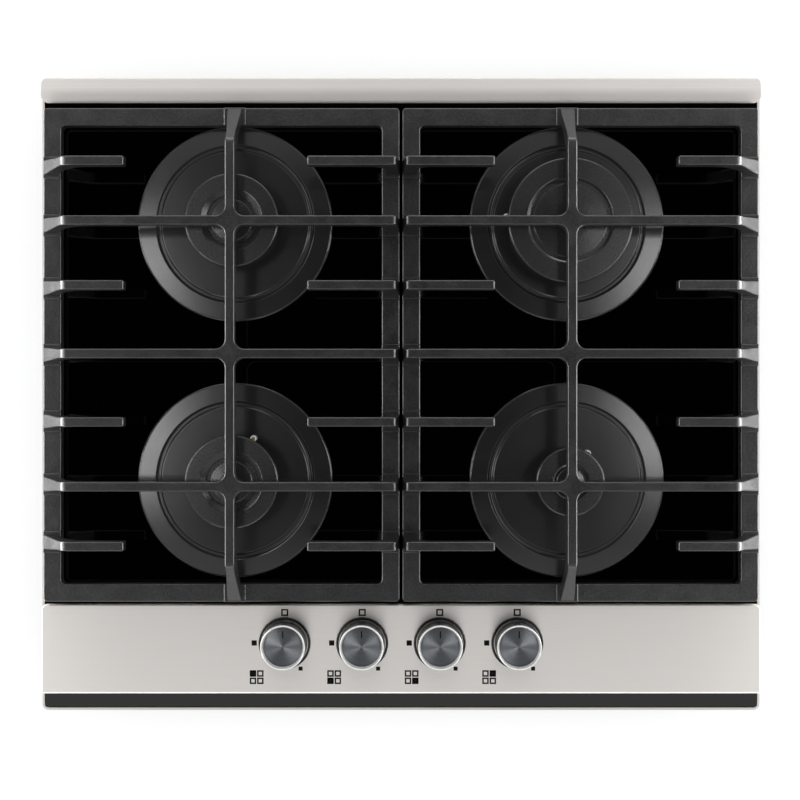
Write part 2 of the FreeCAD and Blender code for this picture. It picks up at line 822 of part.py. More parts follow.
def manifold():
    """Steel pipe past the four taps and back to the inlet, closed at its far end."""
    start_x = -1.5 * knob_spacing - manifold_end_overhang
    end_y = case_rear - case_sheet - inlet_body_length
    points = [(start_x, manifold_y, manifold_z), (inlet_x, manifold_y, manifold_z),
              (inlet_x, end_y, manifold_z)]
    inside = [(start_x + 2 * manifold_wall, manifold_y, manifold_z)] + points[1:]
    tube = pipe(points, manifold_bend, manifold_radius)
    tube = tube.cut(pipe(inside, manifold_bend, manifold_radius - manifold_wall))
    ports = [cylinder(tap_port_radius, V(x, manifold_y, manifold_z), V(x, knob_axis_y, manifold_z))
             for x in KNOB_X.values()]
    return tube.cut(Part.makeCompound(ports))


def gas_inlet():
    """Threaded inlet through the rear wall, and its locknut."""
    def at(y):
        return V(inlet_x, y, manifold_z)
    inner = case_rear - case_sheet
    end = case_rear + inlet_thread_length
    fitting = union([hexagon(inlet_hex_radius, at(inner - inlet_body_length), at(inner)),
                     cylinder(inlet_thread_radius, at(inner - 1), at(end))])
    relief = (at(case_rear + locknut_height), at(case_rear + locknut_height + inlet_relief))
    groove = cylinder(inlet_thread_radius + 1, *relief).cut(cylinder(inlet_relief_radius, *relief))
    bore = cylinder(inlet_bore_radius, at(inner - inlet_body_length), at(end))
    fitting = fitting.cut(Part.makeCompound([groove, bore]))
    nut = hexagon(locknut_radius, at(case_rear), at(case_rear + locknut_height))
    nut = nut.cut(cylinder(inlet_thread_radius + tube_fit, at(case_rear), at(end)))
    return Part.makeCompound([fitting, nut])


def cup_neck(cap_radius):
    """Outer radius of the cup under a cap."""
    return cap_radius - cup_inset


def feed_route(name):
    """Corners of the tube from a tap to its burner; rear tubes run round the front cups."""
    x, y, cap, _ = BURNERS[name]
    side = math.copysign(1, x)
    start_y = knob_axis_y + tap_half_width + outlet_boss_length - tube_insert
    start = (KNOB_X[name], start_y, feed_z)
    if name.startswith("rear"):
        end_x = x + side * (cup_neck(cap) - tube_insert)
        return [start, (KNOB_X[name], rear_feed_turn_y, feed_z),
                (side * rear_feed_x, rear_feed_turn_y, feed_z), (side * rear_feed_x, y, feed_z),
                (end_x, y, feed_z)]
    end_x = x - side * (cup_neck(cap) - tube_insert)
    return [start, (KNOB_X[name], y, feed_z), (end_x, y, feed_z)]


def feed_tubes():
    """Aluminium tube from each tap to its burner."""
    tubes = []
    for name in BURNERS:
        route = feed_route(name)
        tube = pipe(route, tube_bend, tube_radius)
        tubes.append(tube.cut(pipe(route, tube_bend, tube_radius - tube_wall)))
    return Part.makeCompound(tubes)


# ---------------------------------------------------------------- burners

def polar(name, radius_beyond_cap, angle, z):
    """Point beside a burner, at an angle about its axis."""
    x, y, cap, _ = BURNERS[name]
    reach = cap + radius_beyond_cap
    return V(x + reach * math.cos(math.radians(angle)), y + reach * math.sin(math.radians(angle)), z)


def electrode_axis(name, z):
    """Point on the spark electrode's axis."""
    return polar(name, 0.0, ELECTRODE_ANGLE[name], z)


def sensor_axis(name, z):
    """Point on the flame sensor's axis, on the outer side of its burner."""
    angle = sensor_angle if BURNERS[name][0] < 0 else 180 - sensor_angle
    return polar(name, -sensor_inset, angle, z)


def burner_cup(name):
    """Aluminium cup under the glass, with its flange, gas passage and injector seat."""
    x, y, cap, _ = BURNERS[name]
    neck = cup_neck(cap)
    flange = cap + cup_flange_margin
    bore = neck - cup_wall
    base_top = cup_bottom + cup_base
    flange_top = glass_top + cup_flange
    cup = turned([(0, cup_bottom), (neck, cup_bottom), (neck, glass_top), (flange, glass_top),
                  (flange, flange_top, 0.8), (neck, flange_top), (neck, crown_seat),
                  (bore, crown_seat), (bore, base_top), (0, base_top)], x, y)
    route = feed_route(name)
    end = V(*route[-1])
    inward = (V(x, y, feed_z) - end).normalize()
    cuts = [cylinder(cup_passage_radius, end, V(x, y, feed_z)),
            cylinder(tube_radius + tube_fit, end, end - inward * (tube_insert + 1)),
            cylinder(cup_passage_radius + tube_fit, V(x, y, feed_z), V(x, y, base_top)),
            cylinder(insulator_radius + insulator_fit, electrode_axis(name, glass_top - 1),
                     electrode_axis(name, flange_top + 1)),
            cylinder(sensor_radius + insulator_fit, sensor_axis(name, glass_top - 1),
                     sensor_axis(name, flange_top + 1))]
    for side in (-1, 1):
        drill = V(x, y + side * burner_screw_offset, cup_bottom)
        cuts.append(cylinder(screw_radius + screw_fit, drill, drill + UP * burner_screw_length))
    return cup.cut(Part.makeCompound(cuts))


def injectors():
    """Brass injector screwed into each cup."""
    jets = []
    for x, y, _, _ in BURNERS.values():
        seat = V(x, y, cup_bottom + cup_base)
        jet = union([hexagon(injector_hex_radius, seat, seat + UP * injector_hex_height),
                     cylinder(cup_passage_radius, seat - UP * injector_stem, seat + UP)])
        jets.append(jet.cut(cylinder(injector_bore_radius, seat - UP * injector_stem,
                                     seat + UP * injector_hex_height)))
    return Part.makeCompound(jets)


def burner_crown(name):
    """Flame spreader with its mixing tube, locating skirt and ring of ports."""
    x, y, cap, _ = BURNERS[name]
    outer = cap - crown_overhang
    skirt_outer = cup_neck(cap) - cup_wall - crown_fit
    skirt_inner = skirt_outer - crown_skirt_wall
    tube_outer = mixer_radius + mixer_wall
    floor_top = crown_seat + crown_floor
    crown = turned([(mixer_radius, crown_seat - mixer_depth), (tube_outer, crown_seat - mixer_depth),
                    (tube_outer, crown_seat), (skirt_inner, crown_seat),
                    (skirt_inner, crown_seat - crown_skirt_depth),
                    (skirt_outer, crown_seat - crown_skirt_depth), (skirt_outer, crown_seat),
                    (outer, crown_seat, 1.0), (outer, cap_seat), (outer - crown_wall, cap_seat),
                    (outer - crown_wall, floor_top), (tube_outer, floor_top),
                    (tube_outer, crown_seat + mixer_rise), (mixer_radius, crown_seat + mixer_rise)])
    count = int(2 * math.pi * outer / port_pitch)
    slots = []
    for k in range(count):
        slot = Part.makeBox(crown_wall + 2, port_width, port_height + 1,
                            V(outer - crown_wall - 1, -port_width / 2, cap_seat - port_height))
        slot.rotate(V(0, 0, 0), UP, 360.0 * k / count)
        slots.append(slot)
    crown = crown.cut(Part.makeCompound(slots))
    crown.translate(V(x, y, 0))
    return crown


def burner_cap(name):
    """Enamelled cap: rim, slope down to a groove round a domed button, and a centring spigot."""
    x, y, cap, button = BURNERS[name]
    groove, slope = CAP_RINGS[name]
    spigot_outer = cap - crown_overhang - crown_wall - crown_fit
    spigot_inner = spigot_outer - cap_spigot_wall
    floor = cap_top - cap_groove_depth
    button_edge = cap_top - cap_step
    return turned([(0, cap_seat), (spigot_inner, cap_seat), (spigot_inner, cap_seat - cap_spigot_depth),
                   (spigot_outer, cap_seat - cap_spigot_depth), (spigot_outer, cap_seat),
                   (cap, cap_seat, cap_edge_radius / 2), (cap, cap_top, cap_edge_radius),
                   (slope, cap_top, cap_edge_radius), (groove, cap_top - cap_slope_depth, 0.3),
                   (groove - 0.3, floor, 0.2), (button + 0.3, floor, 0.2), (button, button_edge, 0.8),
                   (button / 2, button_edge + 0.75 * cap_button_dome, 6 * button),
                   (0, button_edge + cap_button_dome)], x, y)


def burner_dish(name):
    """Pressed spill dish lying on the glass and on the cup's flange."""
    x, y, cap, _ = BURNERS[name]
    hole = cup_neck(cap) + dish_neck_gap
    low = dish_disc_top - dish_groove_depth
    edge_top = glass_top + dish_edge_rise
    dish = turned([(hole, dish_disc_top), (dish_groove_inner, dish_disc_top, 0.8),
                   (dish_groove_inner + dish_slope, low, 0.8),
                   (dish_groove_outer - dish_slope, low, 0.8),
                   (dish_groove_outer, dish_disc_top, 0.8),
                   (dish_radius, edge_top, dish_edge_radius), (dish_radius, glass_top),
                   (dish_radius - dish_sheet, glass_top),
                   (dish_radius - dish_sheet, edge_top - dish_sheet, dish_edge_radius / 2),
                   (dish_groove_outer + dish_sheet / 2, dish_disc_top - dish_sheet),
                   (dish_groove_outer - dish_slope + dish_sheet / 2, low - dish_sheet),
                   (dish_groove_inner + dish_slope - dish_sheet / 2, low - dish_sheet),
                   (dish_groove_inner - dish_sheet / 2, dish_disc_top - dish_sheet),
                   (hole, dish_disc_top - dish_sheet)], x, y)
    cuts = [cylinder(insulator_radius + dish_neck_gap, electrode_axis(name, glass_top),
                     electrode_axis(name, crown_seat)),
            cylinder(sensor_radius + dish_neck_gap, sensor_axis(name, glass_top),
                     sensor_axis(name, crown_seat))]
    return dish.cut(Part.makeCompound(cuts))


def electrode_insulators():
    """Ceramic sleeve of each spark electrode, held under the cup's flange by its collar."""
    sleeves = []
    for name in BURNERS:
        at = electrode_axis(name, glass_top)
        sleeve = turned([(pin_radius, -insulator_below), (insulator_radius, -insulator_below),
                         (insulator_radius, -insulator_collar),
                         (insulator_collar_radius, -insulator_collar),
                         (insulator_collar_radius, 0), (insulator_radius, 0),
                         (insulator_radius, insulator_above, 0.8), (pin_radius, insulator_above)])
        sleeve.translate(at)
        sleeves.append(sleeve)
    return Part.makeCompound(sleeves)


def electrode_pins():
    """Steel pin through each sleeve, with its thicker spark tip."""
    pins = []
    for name in BURNERS:
        pin = turned([(0, -pin_below), (pin_radius, -pin_below), (pin_radius, insulator_above),
                      (pin_radius * 1.6, insulator_above), (pin_radius * 1.6, insulator_above + pin_tip),
                      (pin_radius, insulator_above + pin_tip), (pin_radius, pin_above, 0.4),
                      (0, pin_above)])
        pin.translate(electrode_axis(name, glass_top))
        pins.append(pin)
    return Part.makeCompound(pins)


def thermocouples():
    """Flame sensor beside each crown, in one piece with its capillary back to the tap."""
    sensors = []
    for name in BURNERS:
        low = sensor_axis(name, glass_top - sensor_below)
        high = sensor_axis(name, glass_top + sensor_above)
        run_z = front_capillary_z if name.startswith("front") else rear_capillary_z
        tap_x = KNOB_X[name] + math.copysign(capillary_tap_offset, BURNERS[name][0])
        tail = pipe([(low.x, low.y, low.z + 1), (low.x, low.y, run_z), (tap_x, low.y, run_z),
                     (tap_x, knob_axis_y + tap_half_width, run_z)], capillary_bend, capillary_radius)
        sensors.append(cylinder(sensor_radius, low, high).fuse(tail))
    return Part.makeCompound(sensors)


def burner_rails():
    """Steel strip along each side that the cups are screwed to, on feet on the case floor."""
    strips = []
    for side in (-1, 1):
        x0 = side * burner_x - rail_strip_width / 2
        x1 = x0 + rail_strip_width
        low = cup_bottom - rail_strip_sheet
        strip = union([
            plate(x0, x1, rail_strip_front_y, rail_strip_rear_y, low, cup_bottom),
            plate(x0, x1, rail_strip_front_y, rail_strip_front_y + rail_strip_sheet,
                  case_sheet, cup_bottom),
            plate(x0, x1, rail_strip_rear_y - rail_strip_sheet, rail_strip_rear_y,
                  case_sheet, cup_bottom)])
        holes = [cylinder(screw_radius + 2 * screw_fit, seat - UP, seat + UP * 2 * rail_strip_sheet)
                 for seat in burner_screw_places()]
        strips.append(strip.cut(Part.makeCompound(holes)))
    return Part.makeCompound(strips)


def burner_screw_places():
    """Seat of each screw under the burner rails."""
    return [V(x, y + side * burner_screw_offset, cup_bottom - rail_strip_sheet)
            for x, y, _, _ in BURNERS.values() for side in (-1, 1)]


# ---------------------------------------------------------------- ignition and mains

def spark_module():
    """Spark generator on the case floor."""
    box = plate(-module_width / 2, module_width / 2, module_y - module_depth / 2,
                module_y + module_depth / 2, case_sheet, case_sheet + module_height, module_edge_radius)
    return rounded(box, module_edge_radius / 2, lambda p: p.z > case_sheet + module_height - 1e-6)


def ignition_leads():
    """Lead from each electrode to the spark module, and one from the mains terminals."""
    leads = []
    for name in BURNERS:
        pin = electrode_axis(name, glass_top - pin_below)
        side = math.copysign(1, BURNERS[name][0])
        turn_y = module_y + (lead_spread if name.startswith("rear") else -lead_spread)
        leads.append(pipe([(pin.x, pin.y, pin.z), (pin.x, pin.y, lead_z), (pin.x, turn_y, lead_z),
                           (side * module_width / 2, turn_y, lead_z)], lead_bend, lead_radius))
    mains_y = terminal_rear() - terminal_depth / 2
    leads.append(pipe([(gland_x + terminal_width / 2, mains_y, lead_z), (0, mains_y, lead_z),
                       (0, module_y + module_depth / 2, lead_z)], lead_bend, lead_radius))
    return Part.makeCompound(leads)


def terminal_rear():
    """Rear face of the mains terminal block."""
    return case_rear - case_sheet - terminal_wall_gap


def terminal_block():
    """Mains terminals beside the cable gland."""
    block = plate(gland_x - terminal_width / 2, gland_x + terminal_width / 2,
                  terminal_rear() - terminal_depth, terminal_rear(), case_sheet,
                  case_sheet + terminal_height, 1.5)
    top = case_sheet + terminal_height
    wells = []
    for k in (-1, 0, 1):
        at = V(gland_x + k * terminal_width / 3.2, terminal_rear() - terminal_depth / 2, top)
        wells.append(cylinder(terminal_screw_radius, at - UP * terminal_screw_radius, at + UP))
    return block.cut(Part.makeCompound(wells))


def cable_gland():
    """Gland for the mains cord in the rear wall, and its nut."""
    def along(corners):
        solid = turned(corners)
        solid.Placement = FreeCAD.Placement(V(gland_x, case_rear, gland_z), FreeCAD.Rotation(UP, BACK))
        return solid
    inner = -case_sheet
    body = along([(gland_bore_radius, inner - gland_nut), (gland_shank_radius, inner - gland_nut),
                  (gland_shank_radius, 0), (gland_flange_radius, 0),
                  (gland_flange_radius, gland_flange, 2.0), (gland_bore_radius, gland_flange)])
    nut = along([(gland_shank_radius + gland_fit, inner - gland_nut),
                 (gland_flange_radius, inner - gland_nut), (gland_flange_radius, inner),
                 (gland_shank_radius + gland_fit, inner)])
    return Part.makeCompound([body, nut])


def worktop_clips():
    """Spring clip at each end of both side walls, gripping under the worktop."""
    clips = []
    for side in (-1, 1):
        def at(u, w, side=side):
            return V(side * (case_half + u), 0, w)
        outer = [(0, clip_bottom), (clip_sheet, clip_bottom), (clip_sheet, clip_bulge_z - clip_bulge, 2),
                 (clip_bulge + clip_sheet, clip_bulge_z, 2), (clip_sheet, clip_bulge_z + clip_bulge, 2),
                 (clip_sheet, clip_top), (0, clip_top), (0, clip_bulge_z + clip_bulge, 2),
                 (clip_bulge, clip_bulge_z, 1.2), (0, clip_bulge_z - clip_bulge, 2)]
        for y in (-clip_y, clip_y):
            clip = face(outer, at).extrude(V(0, clip_width, 0))
            clip.translate(V(0, y - clip_width / 2, 0))
            clips.append(clip)
    return Part.makeCompound(clips)


def case_screws():
    """Screws through the case walls into the skirt."""
    return Part.makeCompound([screw(seat, out, case_screw_length) for seat, out in case_screw_places()])


def tap_screws():
    """Screws through the bracket into the taps."""
    return Part.makeCompound([screw(seat, UP, tap_screw_length) for seat in tap_screw_places()])


def burner_screws():
    """Screws through the burner rails into the cups."""
    return Part.makeCompound([screw(seat, UP * -1, burner_screw_length)
                              for seat in burner_screw_places()])


# ---------------------------------------------------------------- pan supports

def near_chain(chain):
    """Test for points that lie on a chain of edges drawn at the middle of a bar."""
    wire = Part.Wire(chain)
    plane_is_xz = abs(wire.BoundBox.YMax - wire.BoundBox.YMin) < 1e-6

    def on_chain(point):
        flat = V(point.x, 0, point.z) if plane_is_xz else V(0, point.y, point.z)
        return Part.Vertex(flat).distToShape(wire)[0] < 1e-3
    return on_chain


def bar(outer, underside, plane, centre):
    """Upright bar: outer is its rounded top and end line, underside closes it from below."""
    solid = face(outer + underside, plane)
    across = BACK if plane is xz else RIGHT
    solid = solid.extrude(across * bar_width)
    solid.translate(across * (-bar_width / 2))
    on_chain = near_chain(rounded_edges(outer, plane, closed=False))
    beside = (lambda p: abs(p.y)) if plane is xz else (lambda p: abs(p.x))
    solid = rounded(solid, bar_edge_radius, lambda p: on_chain(p) and beside(p) > bar_width / 2 - 1e-6)
    solid.translate(across * centre)
    return solid


def leg(bend, foot, plane, centre):
    """Leg below a bend: foot is its outer corner at the rail, and it widens downwards."""
    low = grate_rail_top + pad_rise - bar_edge_radius
    high = grate_top_z - bar_depth + leg_lap
    slope = (foot - bend) / (grate_top_z - low)
    middle = long_bar_x if plane is xz else grate_centre_y
    inward = math.copysign(leg_thickness, middle - foot)

    def outer_at(z):
        return bend + slope * (grate_top_z - z)
    corners = [(outer_at(high), high), (outer_at(low), low), (outer_at(low) + inward, low),
               (outer_at(high) + inward, high)]
    across = BACK if plane is xz else RIGHT
    reach = RIGHT if plane is xz else BACK
    solid = face(corners, plane).extrude(across * 2 * leg_base_width)
    solid.translate(across * -leg_base_width)
    taper = (leg_base_width - bar_width) / 2 / (grate_top_z - bar_depth - low)
    narrow = bar_width / 2 - taper * leg_lap
    wedge = face([(-leg_base_width / 2, low), (leg_base_width / 2, low), (narrow, high),
                  (-narrow, high)], yz if plane is xz else xz)
    ends = [corner[0] for corner in corners]
    wedge = wedge.extrude(reach * (max(ends) - min(ends) + 2))
    wedge.translate(reach * (min(ends) - 1))
    solid = solid.common(wedge)
    line = [Part.LineSegment(plane(outer_at(high), high), plane(outer_at(low), low)).toShape()]
    on_line = near_chain(line)
    beside = (lambda p: abs(p.y)) if plane is xz else (lambda p: abs(p.x))
    solid = rounded(solid, bar_edge_radius, lambda p: on_line(p) and beside(p) > 1.0)
    solid.translate(across * centre)
    return solid


def crossing(y):
    """Web that rounds the four inner corners where two bars cross."""
    w = bar_width / 2
    reach = w + crossing_radius + 1
    corners = []
    for turn in range(4):
        c, s = round(math.cos(math.pi / 2 * turn)), round(math.sin(math.pi / 2 * turn))
        for u, v, radius in ((reach, -w, 0), (reach, w, 0), (w, w, crossing_radius)):
            corners.append((u * c - v * s, u * s + v * c, radius))
    web = face(corners, xy).extrude(V(0, 0, bar_depth))
    web = rounded(web, bar_edge_radius, lambda p: p.z > bar_depth - 1e-6)
    web.translate(V(long_bar_x, y, grate_top_z - bar_depth))
    return web


def grate_rows():
    """Y of the bars that run right across, and of the short fingers between them."""
    bars = [grate_centre_y + k * bar_row_pitch for k in (-1, 0, 1)]
    offsets = (-finger_row_outer, -finger_row_inner, finger_row_inner, finger_row_outer)
    return bars, [grate_centre_y + k for k in offsets]


def cross_bar(y, start, end):
    """Bar along X at height of the deck between two ends; an end on a rail bends down to it."""
    low = grate_rail_top + pad_rise - bar_edge_radius
    under = grate_top_z - bar_depth
    outer, underside = [], []
    if start is None:
        outer += [(seam_x, low), (seam_bend_x, grate_top_z, bend_radius / 2)]
        underside.append((seam_x + leg_thickness, low))
        underside.insert(0, (seam_bend_x + leg_thickness, under, gusset_radius))
    else:
        outer += [(start, under), (start, grate_top_z, bar_edge_radius * 1.5)]
    if end is None:
        outer += [(outer_bend_x, grate_top_z, bend_radius), (grate_outer_x, low)]
        underside = [(grate_outer_x - leg_thickness, low),
                     (outer_bend_x - leg_thickness * 0.9, under, gusset_radius)] + underside
    else:
        outer += [(end, grate_top_z, bar_edge_radius * 1.5), (end, under)]
    return bar(outer, underside, xz, y)


def long_bar():
    """Bar along Y over both burners, bent down to the front and rear rails."""
    low = grate_rail_top + pad_rise - bar_edge_radius
    under = grate_top_z - bar_depth
    outer = [(grate_front_y, low), (front_bend_y, grate_top_z, bend_radius),
             (rear_bend_y, grate_top_z, bend_radius), (grate_rear_y, low)]
    underside = [(grate_rear_y - leg_thickness, low),
                 (rear_bend_y - leg_thickness * 0.9, under, gusset_radius),
                 (front_bend_y + leg_thickness * 0.9, under, gusset_radius),
                 (grate_front_y + leg_thickness, low)]
    return bar(outer, underside, yz, long_bar_x)


def rail_pad(x0, x1, y0, y1):
    """Raised pad on the rail at the foot of a leg."""
    top = grate_rail_top + pad_rise
    pad = plate(x0, x1, y0, y1, grate_bottom, top, 0.6)
    return rounded(pad, pad_rise * 0.6, lambda p: p.z > top - 1e-6)


def foot_places():
    """Centre of each rubber foot under one pan support."""
    inner = seam_x + grate_rail_width / 2
    outer = grate_outer_x - grate_rail_width / 2
    return [(x, grate_centre_y + k * foot_row) for x in (inner, outer) for k in (-1, 0, 1)]


def grate_right():
    """Cast pan support: base frame, pads, legs, bars and fingers."""
    w = grate_rail_width
    outer = (seam_x, grate_outer_x, grate_front_y, grate_rear_y, grate_outer_corner)
    inner = (seam_x + w, grate_outer_x - w, grate_front_y + w, grate_rear_y - w, grate_inner_corner)
    base = frame_ring(outer, inner, grate_bottom, grate_rail_top)
    base = rounded(base, bar_edge_radius, lambda p: p.z > grate_rail_top - 1e-6)
    pieces = [base, long_bar()]
    bars, fingers = grate_rows()
    for y in bars:
        pieces += [cross_bar(y, None, None), crossing(y)]
    for y in fingers:
        pieces += [cross_bar(y, None, seam_finger_tip), cross_bar(y, outer_finger_tip, None)]
    for y in bars + fingers:
        pieces += [leg(outer_bend_x, grate_outer_x, xz, y), leg(seam_bend_x, seam_x, xz, y),
                   rail_pad(seam_x, seam_x + w, y - pad_width / 2, y + pad_width / 2),
                   rail_pad(grate_outer_x - w, grate_outer_x, y - pad_width / 2, y + pad_width / 2)]
    for bend, foot in ((rear_bend_y, grate_rear_y), (front_bend_y, grate_front_y)):
        inward = -math.copysign(w, foot)
        pieces += [leg(bend, foot, yz, long_bar_x),
                   rail_pad(long_bar_x - pad_width / 2, long_bar_x + pad_width / 2,
                            min(foot, foot + inward), max(foot, foot + inward))]
    grate = union(pieces)
    holes = [cylinder(foot_stem_radius + foot_fit, V(x, y, grate_bottom - 1),
                      V(x, y, grate_bottom + foot_stem_length)) for x, y in foot_places()]
    return grate.cut(Part.makeCompound(holes))


def grate_feet():
    """Rubber feet of the right pan support."""
    feet = []
    for x, y in foot_places():
        top = grate_bottom + foot_stem_length
        feet.append(turned([(0, glass_top), (foot_radius, glass_top, 1.0),
                            (foot_radius, grate_bottom), (foot_stem_radius, grate_bottom),
                            (foot_stem_radius, top), (0, top)], x, y))
    return Part.makeCompound(feet)


def mirrored(shape):
    """The same piece on the left side."""
    return shape.mirror(V(0, 0, 0), RIGHT)


# ---------------------------------------------------------------- assembly

def build():
    """Every piece of the cooktop by name."""
    right_grate, right_feet = grate_right(), grate_feet()
    pieces = {
        "bottom_case": bottom_case(), "top_frame": top_frame(), "worktop_seal": worktop_seal(),
        "glass_panel": glass_panel(), "rear_rail": rear_rail(), "control_panel": control_panel(),
        "knob_bezels": knob_bezels(), "shaft_seals": shaft_seals(), "tap_bracket": tap_bracket(),
        "ignition_switches": ignition_switches(), "manifold": manifold(), "gas_inlet": gas_inlet(),
        "feed_tubes": feed_tubes(), "injectors": injectors(), "burner_rails": burner_rails(),
        "electrode_insulators": electrode_insulators(), "electrode_pins": electrode_pins(),
        "thermocouples": thermocouples(), "spark_module": spark_module(),
        "ignition_leads": ignition_leads(), "terminal_block": terminal_block(),
        "cable_gland": cable_gland(), "worktop_clips": worktop_clips(), "case_screws": case_screws(),
        "tap_screws": tap_screws(), "burner_screws": burner_screws(),
        "grate_right": right_grate, "grate_left": mirrored(right_grate),
        "grate_feet_right": right_feet, "grate_feet_left": mirrored(right_feet),
        "tap_bodies": Part.makeCompound([tap_body(x) for x in KNOB_X.values()]),
        "tap_springs": Part.makeCompound([tap_spring(x) for x in KNOB_X.values()]),
    }
    for name in BURNERS:
        pieces["burner_dish_" + name] = burner_dish(name)
        pieces["burner_cup_" + name] = burner_cup(name)
        pieces["burner_crown_" + name] = burner_crown(name)
        pieces["burner_cap_" + name] = burner_cap(name)
        pieces["knob_" + name] = knob(KNOB_X[name])
        pieces["spindle_" + name] = spindle(KNOB_X[name])
        pieces["tap_plug_" + name] = tap_plug(KNOB_X[name])
    return pieces


if __name__ == "__main__":
    os.makedirs("parts", exist_ok=True)
    for node, shape in build().items():
        shape.exportStep("parts/" + node + ".step")
        print(node, len(shape.Solids), shape.isValid(), round(shape.Volume / 1000, 2))
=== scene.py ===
"""Visual model of a built-in gas cooktop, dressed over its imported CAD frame.

Lengths are in metres. X runs to the right, Y away from the user and Z up, as in the frame.
"""

import logging
import math
from dataclasses import dataclass, field
from enum import Enum
from typing import Mapping, Sequence, Union

import bmesh
import bpy
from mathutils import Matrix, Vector


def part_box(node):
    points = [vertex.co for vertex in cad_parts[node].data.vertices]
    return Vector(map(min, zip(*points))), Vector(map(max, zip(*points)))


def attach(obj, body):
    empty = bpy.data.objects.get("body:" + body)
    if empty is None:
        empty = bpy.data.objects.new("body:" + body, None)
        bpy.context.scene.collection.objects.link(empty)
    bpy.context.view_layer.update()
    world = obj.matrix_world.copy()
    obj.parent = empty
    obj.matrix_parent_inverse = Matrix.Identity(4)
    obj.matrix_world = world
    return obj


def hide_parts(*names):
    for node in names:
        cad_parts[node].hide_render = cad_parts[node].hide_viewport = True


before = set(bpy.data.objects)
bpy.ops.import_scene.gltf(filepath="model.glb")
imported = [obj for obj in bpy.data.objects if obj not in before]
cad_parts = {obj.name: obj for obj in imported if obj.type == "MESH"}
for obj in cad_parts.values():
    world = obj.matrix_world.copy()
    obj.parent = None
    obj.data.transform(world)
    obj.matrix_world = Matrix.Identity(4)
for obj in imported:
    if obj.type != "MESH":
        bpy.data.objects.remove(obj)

LOG = logging.getLogger("cooktop")
MM = 0.001
NOISE_LOW, NOISE_HIGH = 0.3, 0.7
SHARP_ANGLE = math.radians(28)

Pair = tuple[float, float]
Triple = tuple[float, float, float]
Value = Union[float, int, bool, str, Sequence[float], bpy.types.NodeSocket, bpy.types.Material]


# ---------------------------------------------------------------- nodes and colours

def linear(code: str) -> tuple[float, float, float, float]:
    """Turn an sRGB hex colour into linear RGBA.

    Args:
        code: colour as "#rrggbb".

    Returns:
        Linear red, green, blue and an alpha of one.
    """
    values = [int(code[i:i + 2], 16) / 255 for i in (1, 3, 5)]
    low, scale, offset, power = 0.04045, 12.92, 0.055, 2.4
    red, green, blue = [v / scale if v <= low else ((v + offset) / (1 + offset)) ** power
                        for v in values]
    return red, green, blue, 1.0


def add_node(tree: bpy.types.NodeTree, kind: str, inputs: Mapping[Union[str, int], Value] = {},
             **settings: Value) -> bpy.types.Node:
    """Add one node, set its settings, and set or link its inputs.

    Args:
        tree: node tree that takes the node.
        kind: the node's identifier.
        inputs: input name or index to a value, or to the output that it is linked from.
        settings: attributes of the node itself.

    Returns:
        The new node.
    """
    node = tree.nodes.new(kind)
    for name, value in settings.items():
        setattr(node, name, value)
    for key, value in inputs.items():
        if isinstance(value, bpy.types.NodeSocket):
            tree.links.new(value, node.inputs[key])
        else:
            node.inputs[key].default_value = value
    return node


def grain(tree: bpy.types.NodeTree, size: Triple, detail: float = 2.0,
          source: str = "Object") -> bpy.types.NodeSocket:
    """Noise whose blobs have a real size along each axis.

    Args:
        tree: material tree.
        size: length of a blob along x, y and z, in metres.
        detail: number of finer layers.
        source: coordinates that carry the pattern, "Object" or "UV".

    Returns:
        Noise value, mostly from NOISE_LOW to NOISE_HIGH.
    """
    place = add_node(tree, "ShaderNodeTexCoord")
    scaled = add_node(tree, "ShaderNodeMapping",
                      {"Vector": place.outputs[source], "Scale": [1 / s for s in size]})
    noise = add_node(tree, "ShaderNodeTexNoise",
                     {"Vector": scaled.outputs["Vector"], "Scale": 1.0, "Detail": detail})
    return noise.outputs["Fac"]


def spread(tree: bpy.types.NodeTree, value: bpy.types.NodeSocket, low: float,
           high: float) -> bpy.types.NodeSocket:
    """Stretch the middle of a noise value over a range.

    Args:
        tree: material tree.
        value: noise value.
        low: result for dark noise.
        high: result for bright noise.

    Returns:
        The stretched value.
    """
    mapped = add_node(tree, "ShaderNodeMapRange", {
        "Value": value, "From Min": NOISE_LOW, "From Max": NOISE_HIGH, "To Min": low, "To Max": high})
    return mapped.outputs["Result"]


# ---------------------------------------------------------------- meshes

